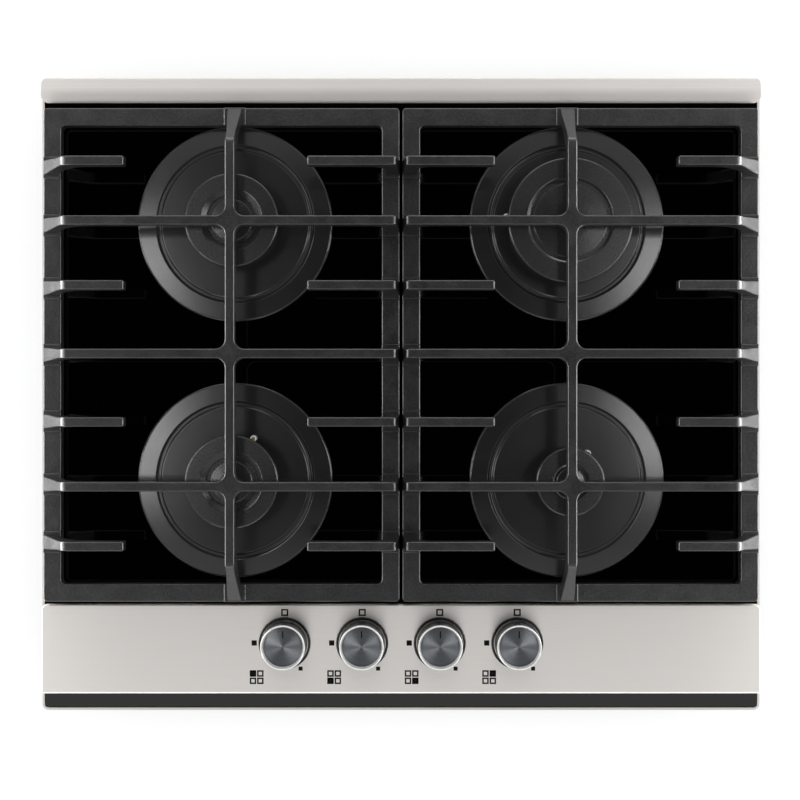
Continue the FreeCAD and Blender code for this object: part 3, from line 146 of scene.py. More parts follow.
def lathe(name: str, profile: Sequence[Pair], axis: Pair, segments: int = 160) -> bpy.types.Object:
    """Turn a profile about an upright axis; U runs along the profile and V round the axis.

    Args:
        name: name of the new piece.
        profile: (radius, height) points in metres; a radius of zero closes the piece, and so
            does a last point that repeats the first.
        axis: X and Y of the axis.
        segments: number of steps round the axis.

    Returns:
        The turned piece, with its place in its mesh.
    """
    shape = bmesh.new()
    chart = shape.loops.layers.uv.new("UVMap")
    along = [0.0]
    for before, after in zip(profile, profile[1:]):
        along.append(along[-1] + math.dist(before, after))
    rings = []
    for radius, height in profile:
        count = segments if radius > 0 else 1
        turns = [2 * math.pi * k / segments for k in range(count)]
        if rings and (radius, height) == profile[0]:
            rings.append(rings[0])
            continue
        rings.append([shape.verts.new((axis[0] + radius * math.cos(t),
                                       axis[1] + radius * math.sin(t), height)) for t in turns])
    for ring, (inner, outer) in enumerate(zip(rings, rings[1:])):
        for k in range(segments):
            corners = []
            for place, side, step in ((ring, inner, k), (ring, inner, k + 1),
                                      (ring + 1, outer, k + 1), (ring + 1, outer, k)):
                vert = side[step % len(side)]
                if vert not in [corner[0] for corner in corners]:
                    corners.append((vert, (along[place], step / segments)))
            made = shape.faces.new([corner[0] for corner in corners])
            for loop, corner in zip(made.loops, corners):
                loop[chart].uv = corner[1]
    bmesh.ops.recalc_face_normals(shape, faces=shape.faces)
    mesh = bpy.data.meshes.new(name)
    shape.to_mesh(mesh)
    shape.free()
    mesh.shade_smooth()
    mesh.set_sharp_from_angle(angle=SHARP_ANGLE)
    return in_scene(name, mesh)


def in_scene(name: str, mesh: bpy.types.Mesh) -> bpy.types.Object:
    """Link a new object that carries a mesh.

    Args:
        name: name of the object.
        mesh: its mesh.

    Returns:
        The new object.
    """
    piece = bpy.data.objects.new(name, mesh)
    bpy.context.scene.collection.objects.link(piece)
    return piece


def eased(corners: Sequence[Triple], steps: int = 5) -> list[Pair]:
    """Round the corners of a profile.

    Args:
        corners: (radius, height, length of the easing) for each corner, in metres.
        steps: points on each eased corner.

    Returns:
        The profile's points.
    """
    points: list[Pair] = []
    for k, (u, w, ease) in enumerate(corners):
        if not ease:
            points.append((u, w))
            continue
        here = Vector((u, w))
        back = (Vector(corners[k - 1][:2]) - here).normalized() * ease
        on = (Vector(corners[k + 1][:2]) - here).normalized() * ease
        for step in range(steps):
            t = step / (steps - 1)
            point = here + back * (1 - t) ** 2 + on * t ** 2
            points.append((point.x, point.y))
    return points


def dressed(piece: bpy.types.Object, finish: "Finish", body: str) -> bpy.types.Object:
    """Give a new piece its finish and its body.

    Args:
        piece: the new piece.
        finish: what it is made of.
        body: the body that it rides on.

    Returns:
        The same piece.
    """
    piece.data.materials.clear()
    piece.data.materials.append(finish.material())
    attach(piece, body)
    LOG.info("%s rides on %s", piece.name, body)
    return piece


# ---------------------------------------------------------------- geometry trees

@dataclass
class Recipe:
    """Geometry tree with named inputs, grown into a plain mesh."""

    name: str
    tree: bpy.types.NodeTree = field(init=False)
    inlet: bpy.types.Node = field(init=False)
    values: dict[str, Value] = field(default_factory=dict)

    def __post_init__(self) -> None:
        """Start an empty tree with its group input."""
        self.tree = bpy.data.node_groups.new(self.name, "GeometryNodeTree")
        self.tree.interface.new_socket("Geometry", in_out="OUTPUT",
                                       socket_type="NodeSocketGeometry")
        self.inlet = self.tree.nodes.new("NodeGroupInput")

    def size(self, name: str, value: Value, kind: str = "Float") -> bpy.types.NodeSocket:
        """Add a named input.

        Args:
            name: what the input is called.
            value: what the modifier sets it to.
            kind: Float, Int, Vector or Material.

        Returns:
            The socket that carries it in the tree.
        """
        self.tree.interface.new_socket(name, in_out="INPUT", socket_type="NodeSocket" + kind)
        self.values[name] = value
        return self.inlet.outputs[name]

    def node(self, kind: str, inputs: Mapping[Union[str, int], Value] = {},
             **settings: Value) -> bpy.types.Node:
        """Add one node to the tree."""
        return add_node(self.tree, kind, inputs, **settings)

    def finish_with(self, geometry: bpy.types.NodeSocket, material: bpy.types.NodeSocket) -> None:
        """End the tree in Realize Instances and Set Material."""
        real = self.node("GeometryNodeRealizeInstances", {"Geometry": geometry})
        dressed_up = self.node("GeometryNodeSetMaterial", {"Geometry": real.outputs["Geometry"],
                                                           "Material": material})
        self.node("NodeGroupOutput", {"Geometry": dressed_up.outputs["Geometry"]})

    def grow(self, name: str) -> bpy.types.Object:
        """Evaluate the tree once, and keep the result as a plain mesh.

        Args:
            name: name of the new piece.

        Returns:
            The new piece, without its modifier.
        """
        seed = in_scene(name, bpy.data.meshes.new(name + "_seed"))
        modifier = seed.modifiers.new(self.name, "NODES")
        modifier.node_group = self.tree
        for item in self.tree.interface.items_tree:
            if item.in_out == "INPUT":
                modifier[item.identifier] = self.values[item.name]
        scene_now = bpy.context.evaluated_depsgraph_get()
        grown = bpy.data.meshes.new_from_object(seed.evaluated_get(scene_now))
        seed.modifiers.remove(modifier)
        seed.data = grown
        grown.name = name
        return seed


# ---------------------------------------------------------------- finishes

@dataclass(frozen=True)
class Finish:
    """Base of every finish: its name, its two close tones and its gloss."""

    name: str
    dark: str
    pale: str
    roughness: float = 0.5
    metallic: float = 0.0
    size: float = 2.0 * MM
    specular: float = 0.5
    unevenness: float = 0.05

    def material(self) -> bpy.types.Material:
        """Build the finish the first time, and return it."""
        made = bpy.data.materials.get(self.name)
        if made is None:
            made = bpy.data.materials.new(self.name)
            made.use_nodes = True
            tree = made.node_tree
            tree.nodes.clear()
            shader = add_node(tree, "ShaderNodeBsdfPrincipled", {
                "Metallic": self.metallic, "Roughness": self.roughness,
                "Specular IOR Level": self.specular})
            self.dress(tree, shader)
            add_node(tree, "ShaderNodeOutputMaterial", {"Surface": shader.outputs["BSDF"]})
            made.diffuse_color = linear(self.pale)
        return made

    def dress(self, tree: bpy.types.NodeTree, shader: bpy.types.Node) -> None:
        """Give the shader its soft change of tone and gloss.

        Args:
            tree: material tree.
            shader: the surface shader.
        """
        cloud = grain(tree, (self.size,) * 3)
        self.tint(tree, shader, spread(tree, cloud, 0, 1))
        self.shine(tree, shader, cloud)

    def tint(self, tree: bpy.types.NodeTree, shader: bpy.types.Node,
             mixing: bpy.types.NodeSocket) -> None:
        """Mix the two tones into the shader's colour.

        Args:
            tree: material tree.
            shader: the surface shader.
            mixing: 0 for the dark tone and 1 for the pale one.
        """
        # The Mix node's colour sockets go by place, because their names repeat.
        factor, dark, pale, colour = 0, 6, 7, 2
        mixed = add_node(tree, "ShaderNodeMix", {factor: mixing, dark: linear(self.dark),
                                                 pale: linear(self.pale)}, data_type="RGBA")
        tree.links.new(mixed.outputs[colour], shader.inputs["Base Color"])

    def shine(self, tree: bpy.types.NodeTree, shader: bpy.types.Node,
              noise: bpy.types.NodeSocket) -> None:
        """Let a noise pattern move the roughness either side of its middle.

        Args:
            tree: material tree.
            shader: the surface shader.
            noise: the pattern.
        """
        tree.links.new(spread(tree, noise, self.roughness - self.unevenness,
                              self.roughness + self.unevenness), shader.inputs["Roughness"])


@dataclass(frozen=True)
class BrushedSheet(Finish):
    """Rolled stainless sheet, belt-brushed along X: fine streaks that catch light in a band.

    Real streaks are finer than a pixel, so these are drawn coarser. The unevenness is below zero
    because the pale streaks are the glossier ones.
    """

    streak: float = 90.0 * MM
    pitch: float = 0.45 * MM
    anisotropy: float = 0.85
    metallic: float = 1.0
    unevenness: float = -0.01

    def dress(self, tree: bpy.types.NodeTree, shader: bpy.types.Node) -> None:
        """Add long streaks to tone and gloss, and stretch the highlight across them.

        Args:
            tree: material tree.
            shader: the surface shader.
        """
        streaks = grain(tree, (self.streak, self.pitch, self.pitch), detail=4.0)
        self.tint(tree, shader, spread(tree, streaks, 0, 1))
        self.shine(tree, shader, streaks)
        shader.inputs["Anisotropic"].default_value = self.anisotropy
        across = add_node(tree, "ShaderNodeTangent", direction_type="RADIAL", axis="X")
        tree.links.new(across.outputs["Tangent"], shader.inputs["Tangent"])


@dataclass(frozen=True)
class CastEnamel(Finish):
    """Enamel fired over iron or steel: fine pits break its highlight into a soft sparkle.

    Real pits are finer than a pixel, so the grit is drawn coarser.
    """

    grit: float = 0.9 * MM
    depth: float = 0.16 * MM

    def dress(self, tree: bpy.types.NodeTree, shader: bpy.types.Node) -> None:
        """Add grit to tone and relief, and a slow change of gloss.

        Args:
            tree: material tree.
            shader: the surface shader.
        """
        self.shine(tree, shader, grain(tree, (self.size,) * 3))
        pits = grain(tree, (self.grit,) * 3, detail=3.0)
        self.tint(tree, shader, spread(tree, pits, 0, 1))
        bump = add_node(tree, "ShaderNodeBump", {"Height": pits, "Distance": self.depth,
                                                 "Strength": 1.0})
        tree.links.new(bump.outputs["Normal"], shader.inputs["Normal"])


@dataclass(frozen=True)
class PolishedGlass(Finish):
    """Tempered glass, black right through and fire-polished: dark, with a sharp mirror image."""

    smear: float = 0.02
    ior: float = 1.47

    def dress(self, tree: bpy.types.NodeTree, shader: bpy.types.Node) -> None:
        """Add a faint smear to the gloss.

        Args:
            tree: material tree.
            shader: the surface shader.
        """
        cloud = grain(tree, (self.size,) * 3)
        self.tint(tree, shader, cloud)
        tree.links.new(spread(tree, cloud, self.roughness, self.roughness + self.smear),
                       shader.inputs["Roughness"])
        shader.inputs["IOR"].default_value = self.ior


@dataclass(frozen=True)
class TurnedFace(Finish):
    """Aluminium faced on a lathe: its rings throw each lamp into a bright spoke.

    The mesh's own map has U running outwards, and gloss spreads along it, across the rings. Real
    rings are finer than a pixel, so these are drawn coarser.
    """

    metallic: float = 1.0
    ring: float = 0.3 * MM
    turns: float = 0.5
    anisotropy: float = 0.9

    def dress(self, tree: bpy.types.NodeTree, shader: bpy.types.Node) -> None:
        """Add rings along the mesh's own map.

        Args:
            tree: material tree.
            shader: the surface shader.
        """
        rings = grain(tree, (self.ring, self.turns, 1.0), detail=3.0, source="UV")
        self.tint(tree, shader, spread(tree, rings, 0, 1))
        self.shine(tree, shader, rings)
        shader.inputs["Anisotropic"].default_value = self.anisotropy
        outwards = add_node(tree, "ShaderNodeTangent", direction_type="UV_MAP", uv_map="UVMap")
        tree.links.new(outwards.outputs["Tangent"], shader.inputs["Tangent"])


@dataclass(frozen=True)
class DippedZinc(Finish):
    """Hot-dipped galvanised sheet: flat grey crystals some millimetres across."""

    metallic: float = 0.9
    spangle: float = 6.0 * MM

    def dress(self, tree: bpy.types.NodeTree, shader: bpy.types.Node) -> None:
        """Add crystals to tone and gloss.

        Args:
            tree: material tree.
            shader: the surface shader.
        """
        place = add_node(tree, "ShaderNodeTexCoord")
        cells = add_node(tree, "ShaderNodeTexVoronoi", {"Vector": place.outputs["Object"],
                                                        "Scale": 1 / self.spangle})
        tone = add_node(tree, "ShaderNodeSeparateColor", {"Color": cells.outputs["Color"]})
        self.tint(tree, shader, tone.outputs["Red"])
        gloss = add_node(tree, "ShaderNodeMapRange", {"Value": tone.outputs["Green"],
                                                      "To Min": self.roughness - self.unevenness,
                                                      "To Max": self.roughness + self.unevenness})
        tree.links.new(gloss.outputs["Result"], shader.inputs["Roughness"])


class Slot(Enum):
    """Material slots of the record, each with the finish that dresses it."""

    # Grey sheet broken into paler and darker crystals.
    case_steel = DippedZinc("dipped_zinc_sheet", "#9a9ea0", "#adb1b3", 0.45)
    # Soft band of light along the lip, with no clear mirror image.
    rim_steel = BrushedSheet("brushed_steel_rim", "#dad6d2", "#dfdbd7", 0.52)
    # Rougher sheet: its band of light is so wide that the rail looks pale nearly all over.
    rail_steel = BrushedSheet("brushed_steel_rail", "#e4e0dd", "#e8e4e1", 0.66)
    # Smoother sheet: a narrower band, so that the flat panel shades gently.
    panel_steel = BrushedSheet("brushed_steel_panel", "#ece8e4", "#efebe7", 0.34)
    # Dull black with no highlight.
    foam = Finish("closed_cell_foam", "#161616", "#232323", 0.95, size=0.8 * MM)
    # Black where it mirrors the dark card, white where it mirrors the surround.
    black_glass = PolishedGlass("black_tempered_glass", "#010102", "#020203", 0.02, size=60 * MM)
    # Thin sharp highlight round a black ring.
    bezel_plastic = Finish("gloss_black_abs", "#0c0c0d", "#121213", 0.12, size=8 * MM)
    # Near black with a faint sheen.
    seal_rubber = Finish("moulded_silicone", "#161617", "#1e1e1f", 0.7)
    # Even satin grey.
    zinc_steel = Finish("zinc_plated_steel", "#a2a5a3", "#b3b6b4", 0.35, 1.0, 6 * MM)
    # Warm off-white with a soft highlight.
    switch_plastic = Finish("heat_resistant_pbt", "#cfccc2", "#dbd8cf", 0.5, size=5 * MM)
    # Bright yellow metal.
    brass = Finish("machined_brass", "#b08d4d", "#c9a860", 0.28, 1.0, 3 * MM)
    # Pale metal with a long soft highlight.
    tube_aluminium = Finish("drawn_aluminium_tube", "#b9b9bb", "#cdcdcf", 0.38, 1.0, 5 * MM)
    # Creamy white with a small wet highlight.
    ceramic = Finish("glazed_alumina", "#e3e0d8", "#efece5", 0.25, size=3 * MM)
    # Straw-brown metal, as heat leaves it.
    pin_steel = Finish("heat_tinted_steel", "#8d7c5f", "#b5a98f", 0.35, 1.0, 3 * MM)
    # Brown, dulled copper.
    copper = Finish("heat_dulled_copper", "#7d5f4e", "#947462", 0.42, 1.0, 4 * MM)
    # Even black without gloss.
    module_plastic = Finish("black_pbt", "#131314", "#1d1d1e", 0.5, size=2 * MM)
    # Dull red.
    lead_rubber = Finish("red_silicone_lead", "#8e2a18", "#a5371f", 0.6, size=6 * MM)
    # Small bright metal heads.
    screw_steel = Finish("bright_zinc_screw", "#b2b2b4", "#c6c6c8", 0.25, 1.0, 3 * MM)
    # Grey wire with thin bright lines.
    spring_steel = Finish("spring_wire", "#8f9092", "#a8a9ab", 0.3, 1.0, 3 * MM)
    # Charcoal with a grainy sheen along each bar.
    cast_iron = CastEnamel("enamelled_cast_iron", "#0e0e0f", "#29292b", 0.34, size=14 * MM,
                           specular=0.4, grit=1.3 * MM)
    # Nearly smooth black with broad soft highlights.
    dish_enamel = CastEnamel("satin_enamel_dish", "#18181a", "#1c1c1e", 0.2, size=30 * MM,
                             unevenness=0.01, grit=1.6 * MM, depth=0.008 * MM)
    # Matt pale grey metal.
    cup_aluminium = Finish("die_cast_cup", "#8a8a8c", "#9c9c9e", 0.5, 1.0, 4 * MM)
    # Matt grey metal, darker than the cup.
    crown_aluminium = Finish("die_cast_crown", "#6e6e70", "#858587", 0.5, 1.0, 4 * MM)
    # Smooth black, a little paler than the dish.
    cap_enamel = CastEnamel("satin_enamel_cap", "#1b1b1d", "#202022", 0.22, size=25 * MM,
                            unevenness=0.01, grit=1.2 * MM, depth=0.010 * MM)
    # Blue-grey disc with bright spokes.
    knob_metal = TurnedFace("turned_anodised_aluminium", "#4d4f52", "#5d5f62", 0.37)


# Flat black that keeps its tone in any light.
PRINT_INK = Finish("screen_print_ink", "#0a0a0a", "#101010", 0.7, size=1.5 * MM, specular=0.1)
# Black line without gloss.
POINTER_PAINT = Finish("filled_pointer_paint", "#040404", "#080808", 0.7, size=1.0 * MM,
                       specular=0.1)
# Silvery white ring with a soft bright crest.
SATIN_RIM = Finish("satin_silver_rim", "#ebebe9", "#f2f2f0", 0.32, 0.4, 6 * MM)
# Black side with soft upright highlights.
KNOB_BODY = Finish("black_moulded_knob", "#121213", "#18181a", 0.3, size=5 * MM)


def repaint(node: str, finish: Finish) -> None:
    """Give a CAD node a finish through its own material slots.

    Args:
        node: name of the CAD node.
        finish: the finish that it takes.
    """
    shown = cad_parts[node]
    if not shown.material_slots:
        shown.data.materials.append(finish.material())
    for place in shown.material_slots:
        place.material = finish.material()
    LOG.info("%s takes %s", node, finish.name)


# ---------------------------------------------------------------- sub-assemblies

@dataclass
class SubAssembly:
    """Part of the cooktop: the CAD nodes that it keeps, each with its material slot."""

    finishes: dict[str, Slot] = field(default_factory=dict)

    def build(self) -> None:
        """Dress the CAD nodes, then add the pieces that the frame lacks."""
        for node, slot in self.finishes.items():
            repaint(node, slot.value)
        self.add_pieces()

    def add_pieces(self) -> None:
        """Add nothing unless the sub-assembly has pieces of its own."""


CORNERS = ("rear_left", "front_left", "front_right", "rear_right")


def at_corners(stem: str, slot: Slot) -> dict[str, Slot]:
    """Same slot for the four nodes of one kind.

    Args:
        stem: start of the nodes' names.
        slot: slot that they share.

    Returns:
        Node name to slot.
    """
    return {f"{stem}_{corner}": slot for corner in CORNERS}


@dataclass
class Housing(SubAssembly):
    """Case, top frame, seal, clips and the entries for gas and mains."""

    finishes: dict[str, Slot] = field(default_factory=lambda: {
        "bottom_case": Slot.case_steel, "top_frame": Slot.rim_steel, "worktop_seal": Slot.foam,
        "worktop_clips": Slot.spring_steel, "case_screws": Slot.screw_steel,
        "cable_gland": Slot.module_plastic, "gas_inlet": Slot.brass})


@dataclass
class GlassTop(SubAssembly):
    """Black glass between the rear rail and the control panel."""

    finishes: dict[str, Slot] = field(default_factory=lambda: {
        "glass_panel": Slot.black_glass, "rear_rail": Slot.rail_steel,
        "control_panel": Slot.panel_steel})


@dataclass
class GasTrain(SubAssembly):
    """Manifold, taps and feed tubes under the glass."""

    finishes: dict[str, Slot] = field(default_factory=lambda: {
        "tap_bracket": Slot.zinc_steel, "manifold": Slot.tube_aluminium,
        "feed_tubes": Slot.tube_aluminium, "injectors": Slot.brass,
        "burner_rails": Slot.zinc_steel, "tap_screws": Slot.screw_steel,
        "burner_screws": Slot.screw_steel, "tap_bodies": Slot.brass,
        "tap_springs": Slot.spring_steel, **at_corners("tap_plug", Slot.brass)})


@dataclass
class Ignition(SubAssembly):
    """Spark module, its leads and electrodes, the flame sensors and the mains terminals."""

    finishes: dict[str, Slot] = field(default_factory=lambda: {
        "ignition_switches": Slot.switch_plastic, "electrode_insulators": Slot.ceramic,
        "electrode_pins": Slot.pin_steel, "thermocouples": Slot.copper,
        "spark_module": Slot.module_plastic, "ignition_leads": Slot.lead_rubber,
        "terminal_block": Slot.switch_plastic})


@dataclass
class Burners(SubAssembly):
    """Dish, cup, crown and cap of each burner."""

    finishes: dict[str, Slot] = field(default_factory=lambda: {
        **at_corners("burner_dish", Slot.dish_enamel), **at_corners("burner_cup", Slot.cup_aluminium),
        **at_corners("burner_crown", Slot.crown_aluminium),
        **at_corners("burner_cap", Slot.cap_enamel)})


@dataclass
class PanSupports(SubAssembly):
    """Two cast pan supports on rubber feet."""

    finishes: dict[str, Slot] = field(default_factory=lambda: {
        "grate_left": Slot.cast_iron, "grate_right": Slot.cast_iron,
        "grate_feet_left": Slot.seal_rubber, "grate_feet_right": Slot.seal_rubber})


@dataclass
class Controls(SubAssembly):
    """Black knobs with a spun disc inside a bright rim, and the marks printed round them."""

    finishes: dict[str, Slot] = field(default_factory=lambda: {
        "knob_bezels": Slot.bezel_plastic, "shaft_seals": Slot.seal_rubber,
        **at_corners("spindle", Slot.brass)})
    draft: float = 0.6 * MM
    rim_width: float = 1.0 * MM
    rim_slope: float = 1.2 * MM
    rim_height: float = 1.4 * MM
    rim_sheet: float = 0.6 * MM
    recess: float = 3.6 * MM
    wall: float = 2.5 * MM
    hub_radius: float = 6.5 * MM
    bore_radius: float = 3.05 * MM
    bore_depth: float = 12.05 * MM
    floor_thickness: float = 3.0 * MM
    disc_thickness: float = 0.4 * MM
    base_ease: float = 0.3 * MM
    outer_ease: float = 0.7 * MM
    inner_ease: float = 0.4 * MM
    disc_ease: float = 0.15 * MM
    pointer_start: float = 7.0 * MM
    pointer_end: float = 12.9 * MM
    pointer_width: float = 1.1 * MM
    pointer_proud: float = 0.03 * MM
    pointer_end_steps: int = 6

    def add_pieces(self) -> None:
        """Make the four knobs, fill their pointers, and print the marks."""
        for corner in CORNERS:
            low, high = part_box("knob_" + corner)
            axis = ((low.x + high.x) / 2, (low.y + high.y) / 2)
            base = (high.x - low.x) / 2
            self.turn_body(corner, axis, low.z, high.z, base)
            self.turn_rim(corner, axis, high.z, base - self.draft)
            self.turn_disc(corner, axis, high.z - self.recess,
                           base - self.draft - self.rim_width - self.rim_slope)
            self.fill_pointer(corner, axis, high.z - self.recess)
        PrintedMarks(axis_y=axis[1], panel_top=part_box("control_panel")[1].z).build()

    def turn_body(self, corner: str, axis: Pair, low: float, high: float, base: float) -> None:
        """Mould one knob's hollow black body, in place of the CAD knob.

        Args:
            corner: burner that the knob serves.
            axis: X and Y of its axis.
            low: height of its underside.
            high: height of its rim.
            base: radius at its underside.
        """
        top = base - self.draft
        seat = high - self.recess - self.disc_thickness
        roof = seat - self.floor_thickness
        inside = base - self.wall
        bore_top = low + self.bore_depth
        shoulder = high - self.rim_height
        profile = eased([
            (0, bore_top, 0), (self.bore_radius, bore_top, 0), (self.bore_radius, low, 0),
            (self.hub_radius, low, 0), (self.hub_radius, roof, 0), (inside - self.draft, roof, 0),
            (inside, low, 0), (base, low, self.base_ease), (top, shoulder, 0),
            (top - self.rim_width, shoulder, 0),
            (top - self.rim_width - self.rim_slope + self.rim_sheet, seat, 0), (0, seat, 0)])
        body = lathe(f"knob_{corner}_body", profile, axis)
        dressed(body, KNOB_BODY, "knob_" + corner)
        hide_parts("knob_" + corner)

    def turn_rim(self, corner: str, axis: Pair, high: float, top: float) -> None:
        """Turn the bright ring that closes one knob's edge and slopes down to its disc.

        Args:
            corner: burner that the knob serves.
            axis: X and Y of its axis.
            high: height of its crest.
            top: its outer radius.
        """
        seat = high - self.recess - self.disc_thickness
        shoulder = high - self.rim_height
        crest = top - self.rim_width
        foot = crest - self.rim_slope
        profile = eased([
            (top, shoulder, 0), (top, high, self.outer_ease), (crest, high, self.inner_ease),
            (foot, seat, 0), (foot + self.rim_sheet, seat, 0), (crest, shoulder, 0),
            (top, shoulder, 0)])
        ring = lathe(f"knob_{corner}_rim", profile, axis)
        dressed(ring, SATIN_RIM, "knob_" + corner)

    def turn_disc(self, corner: str, axis: Pair, height: float, radius: float) -> None:
        """Turn the thin spun disc that lies in one knob's rim.

        Args:
            corner: burner that the knob serves.
            axis: X and Y of its axis.
            height: height of its face.
            radius: its radius.
        """
        low = height - self.disc_thickness
        profile = eased([(0, height, 0), (radius, height, self.disc_ease), (radius, low, 0),
                         (0, low, 0)])
        disc = lathe(f"knob_{corner}_disc", profile, axis)
        dressed(disc, Slot.knob_metal.value, "knob_" + corner)

    def fill_pointer(self, corner: str, axis: Pair, height: float) -> None:
        """Fill one knob's engraved pointer with a bar of paint.

        Args:
            corner: burner that the knob serves.
            axis: X and Y of its axis.
            height: height of the disc's face.
        """
        bar = bmesh.new()
        ends = [(self.pointer_start, math.pi), (self.pointer_end, 0.0)]
        rim = []
        half = self.pointer_width / 2
        for reach, turn in ends:
            for step in range(self.pointer_end_steps + 1):
                angle = turn + math.pi * step / self.pointer_end_steps
                middle = reach + (half if turn else -half)
                rim.append(bar.verts.new((axis[0] + half * math.cos(angle),
                                          axis[1] + middle + half * math.sin(angle), height)))
        face = bar.faces.new(rim)
        raised = bmesh.ops.extrude_face_region(bar, geom=[face])
        lifted = [item for item in raised["geom"] if isinstance(item, bmesh.types.BMVert)]
        bmesh.ops.translate(bar, verts=lifted, vec=(0, 0, self.pointer_proud))
        bmesh.ops.recalc_face_normals(bar, faces=bar.faces)
        mesh = bpy.data.meshes.new(f"knob_{corner}_pointer")
        bar.to_mesh(mesh)
        bar.free()
        dressed(in_scene(mesh.name, mesh), POINTER_PAINT, "knob_" + corner)


@dataclass
class PrintedMarks:
    """Marks screen-printed on the panel round each knob, the same for all four but one square."""

    axis_y: float
    panel_top: float
    knob_count: int = 4
    knob_spacing: float = 63.5 * MM
    line: float = 1.25 * MM
    off_square: float = 5.8 * MM
    off_reach: float = 25.0 * MM
    full_square: float = 4.3 * MM
    full_reach: float = -25.0 * MM
    low_square: float = 3.3 * MM
    low_place: Pair = (13.0 * MM, -21.0 * MM)
    cell: float = 5.3 * MM
    cell_pitch: float = 6.0 * MM
    icon_place: Pair = (-23.0 * MM, -28.0 * MM)
    ink_below: float = 0.02 * MM
    ink_above: float = 0.05 * MM

    def build(self) -> None:
        """Print every mark in one piece that rides on the hob."""
        recipe = Recipe("printed_marks")
        ink = recipe.size("Ink", PRINT_INK.material(), "Material")
        depth = recipe.size("Ink Depth", self.ink_below + self.ink_above)
        line = recipe.size("Line", self.line)
        cell = recipe.size("Cell", self.cell)
        axes = self.knob_axes(recipe)
        off = self.open_square(recipe, recipe.size("Off Square", self.off_square), line, depth)
        shapes = [
            self.printed(recipe, axes, off, (0, self.off_reach, 0)),
            self.printed(recipe, axes,
                         self.solid_square(recipe, recipe.size("Full Square", self.full_square), depth),
                         (self.full_reach, 0, 0)),
            self.printed(recipe, axes,
                         self.solid_square(recipe, recipe.size("Low Square", self.low_square), depth),
                         (*self.low_place, 0)),
            self.printed(recipe, axes, self.cell_block(recipe, cell, line, depth),
                         (*self.icon_place, 0)),
            self.filled_cells(recipe, axes, cell, depth)]
        joined = recipe.node("GeometryNodeJoinGeometry")
        for shape in reversed(shapes):
            recipe.tree.links.new(shape, joined.inputs["Geometry"])
        recipe.finish_with(joined.outputs["Geometry"], ink)
        dressed(recipe.grow("panel_marks"), PRINT_INK, "hob")

    def knob_axes(self, recipe: Recipe) -> bpy.types.NodeSocket:
        """One point on each knob's axis, halfway up the ink."""
        start = -(self.knob_count - 1) / 2 * self.knob_spacing
        height = self.panel_top + (self.ink_above - self.ink_below) / 2
        return recipe.node("GeometryNodeMeshLine", {
            "Count": recipe.size("Knobs", self.knob_count, "Int"),
            "Start Location": recipe.size("First Axis", (start, self.axis_y, height), "Vector"),
            "Offset": recipe.size("Knob Spacing", (self.knob_spacing, 0, 0), "Vector"),
        }).outputs["Mesh"]

    def solid_square(self, recipe: Recipe, side: bpy.types.NodeSocket,
                     depth: bpy.types.NodeSocket) -> bpy.types.NodeSocket:
        """Filled square of ink.

        Args:
            recipe: tree that takes it.
            side: its side.
            depth: thickness of the ink.

        Returns:
            Its geometry.
        """
        extent = recipe.node("ShaderNodeCombineXYZ", {"X": side, "Y": side, "Z": depth})
        return recipe.node("GeometryNodeMeshCube", {"Size": extent.outputs["Vector"]}).outputs["Mesh"]

    def open_square(self, recipe: Recipe, side: bpy.types.NodeSocket, line: bpy.types.NodeSocket,
                    depth: bpy.types.NodeSocket) -> bpy.types.NodeSocket:
        """Square drawn with one line of ink, whose section lies along each corner's mitre.

        Args:
            recipe: tree that takes it.
            side: its side, over the line.
            line: width of the line.
            depth: thickness of the ink.

        Returns:
            Its geometry.
        """
        middle = recipe.node("ShaderNodeMath", {0: side, 1: line}, operation="SUBTRACT")
        route = recipe.node("GeometryNodeCurvePrimitiveQuadrilateral",
                            {"Width": middle.outputs["Value"], "Height": middle.outputs["Value"]})
        mitred = recipe.node("ShaderNodeMath", {0: line, 1: math.sqrt(2)}, operation="MULTIPLY")
        section = recipe.node("GeometryNodeCurvePrimitiveQuadrilateral",
                              {"Width": mitred.outputs["Value"], "Height": depth})
        return recipe.node("GeometryNodeCurveToMesh", {
            "Curve": route.outputs["Curve"], "Profile Curve": section.outputs["Curve"],
            "Fill Caps": False}).outputs["Mesh"]

    def cell_block(self, recipe: Recipe, cell: bpy.types.NodeSocket, line: bpy.types.NodeSocket,
                   depth: bpy.types.NodeSocket) -> bpy.types.NodeSocket:
        """Two by two open squares that stand for the four burners.

        Args:
            recipe: tree that takes it.
            cell: side of a square.
            line: width of its line.
            depth: thickness of the ink.

        Returns:
            Its geometry, as instances.
        """
        pitch = recipe.size("Cell Pitch", self.cell_pitch)
        places = recipe.node("GeometryNodeMeshGrid", {"Size X": pitch, "Size Y": pitch,
                                                      "Vertices X": 2, "Vertices Y": 2})
        square = self.open_square(recipe, cell, line, depth)
        return recipe.node("GeometryNodeInstanceOnPoints", {
            "Points": places.outputs["Mesh"], "Instance": square}).outputs["Instances"]

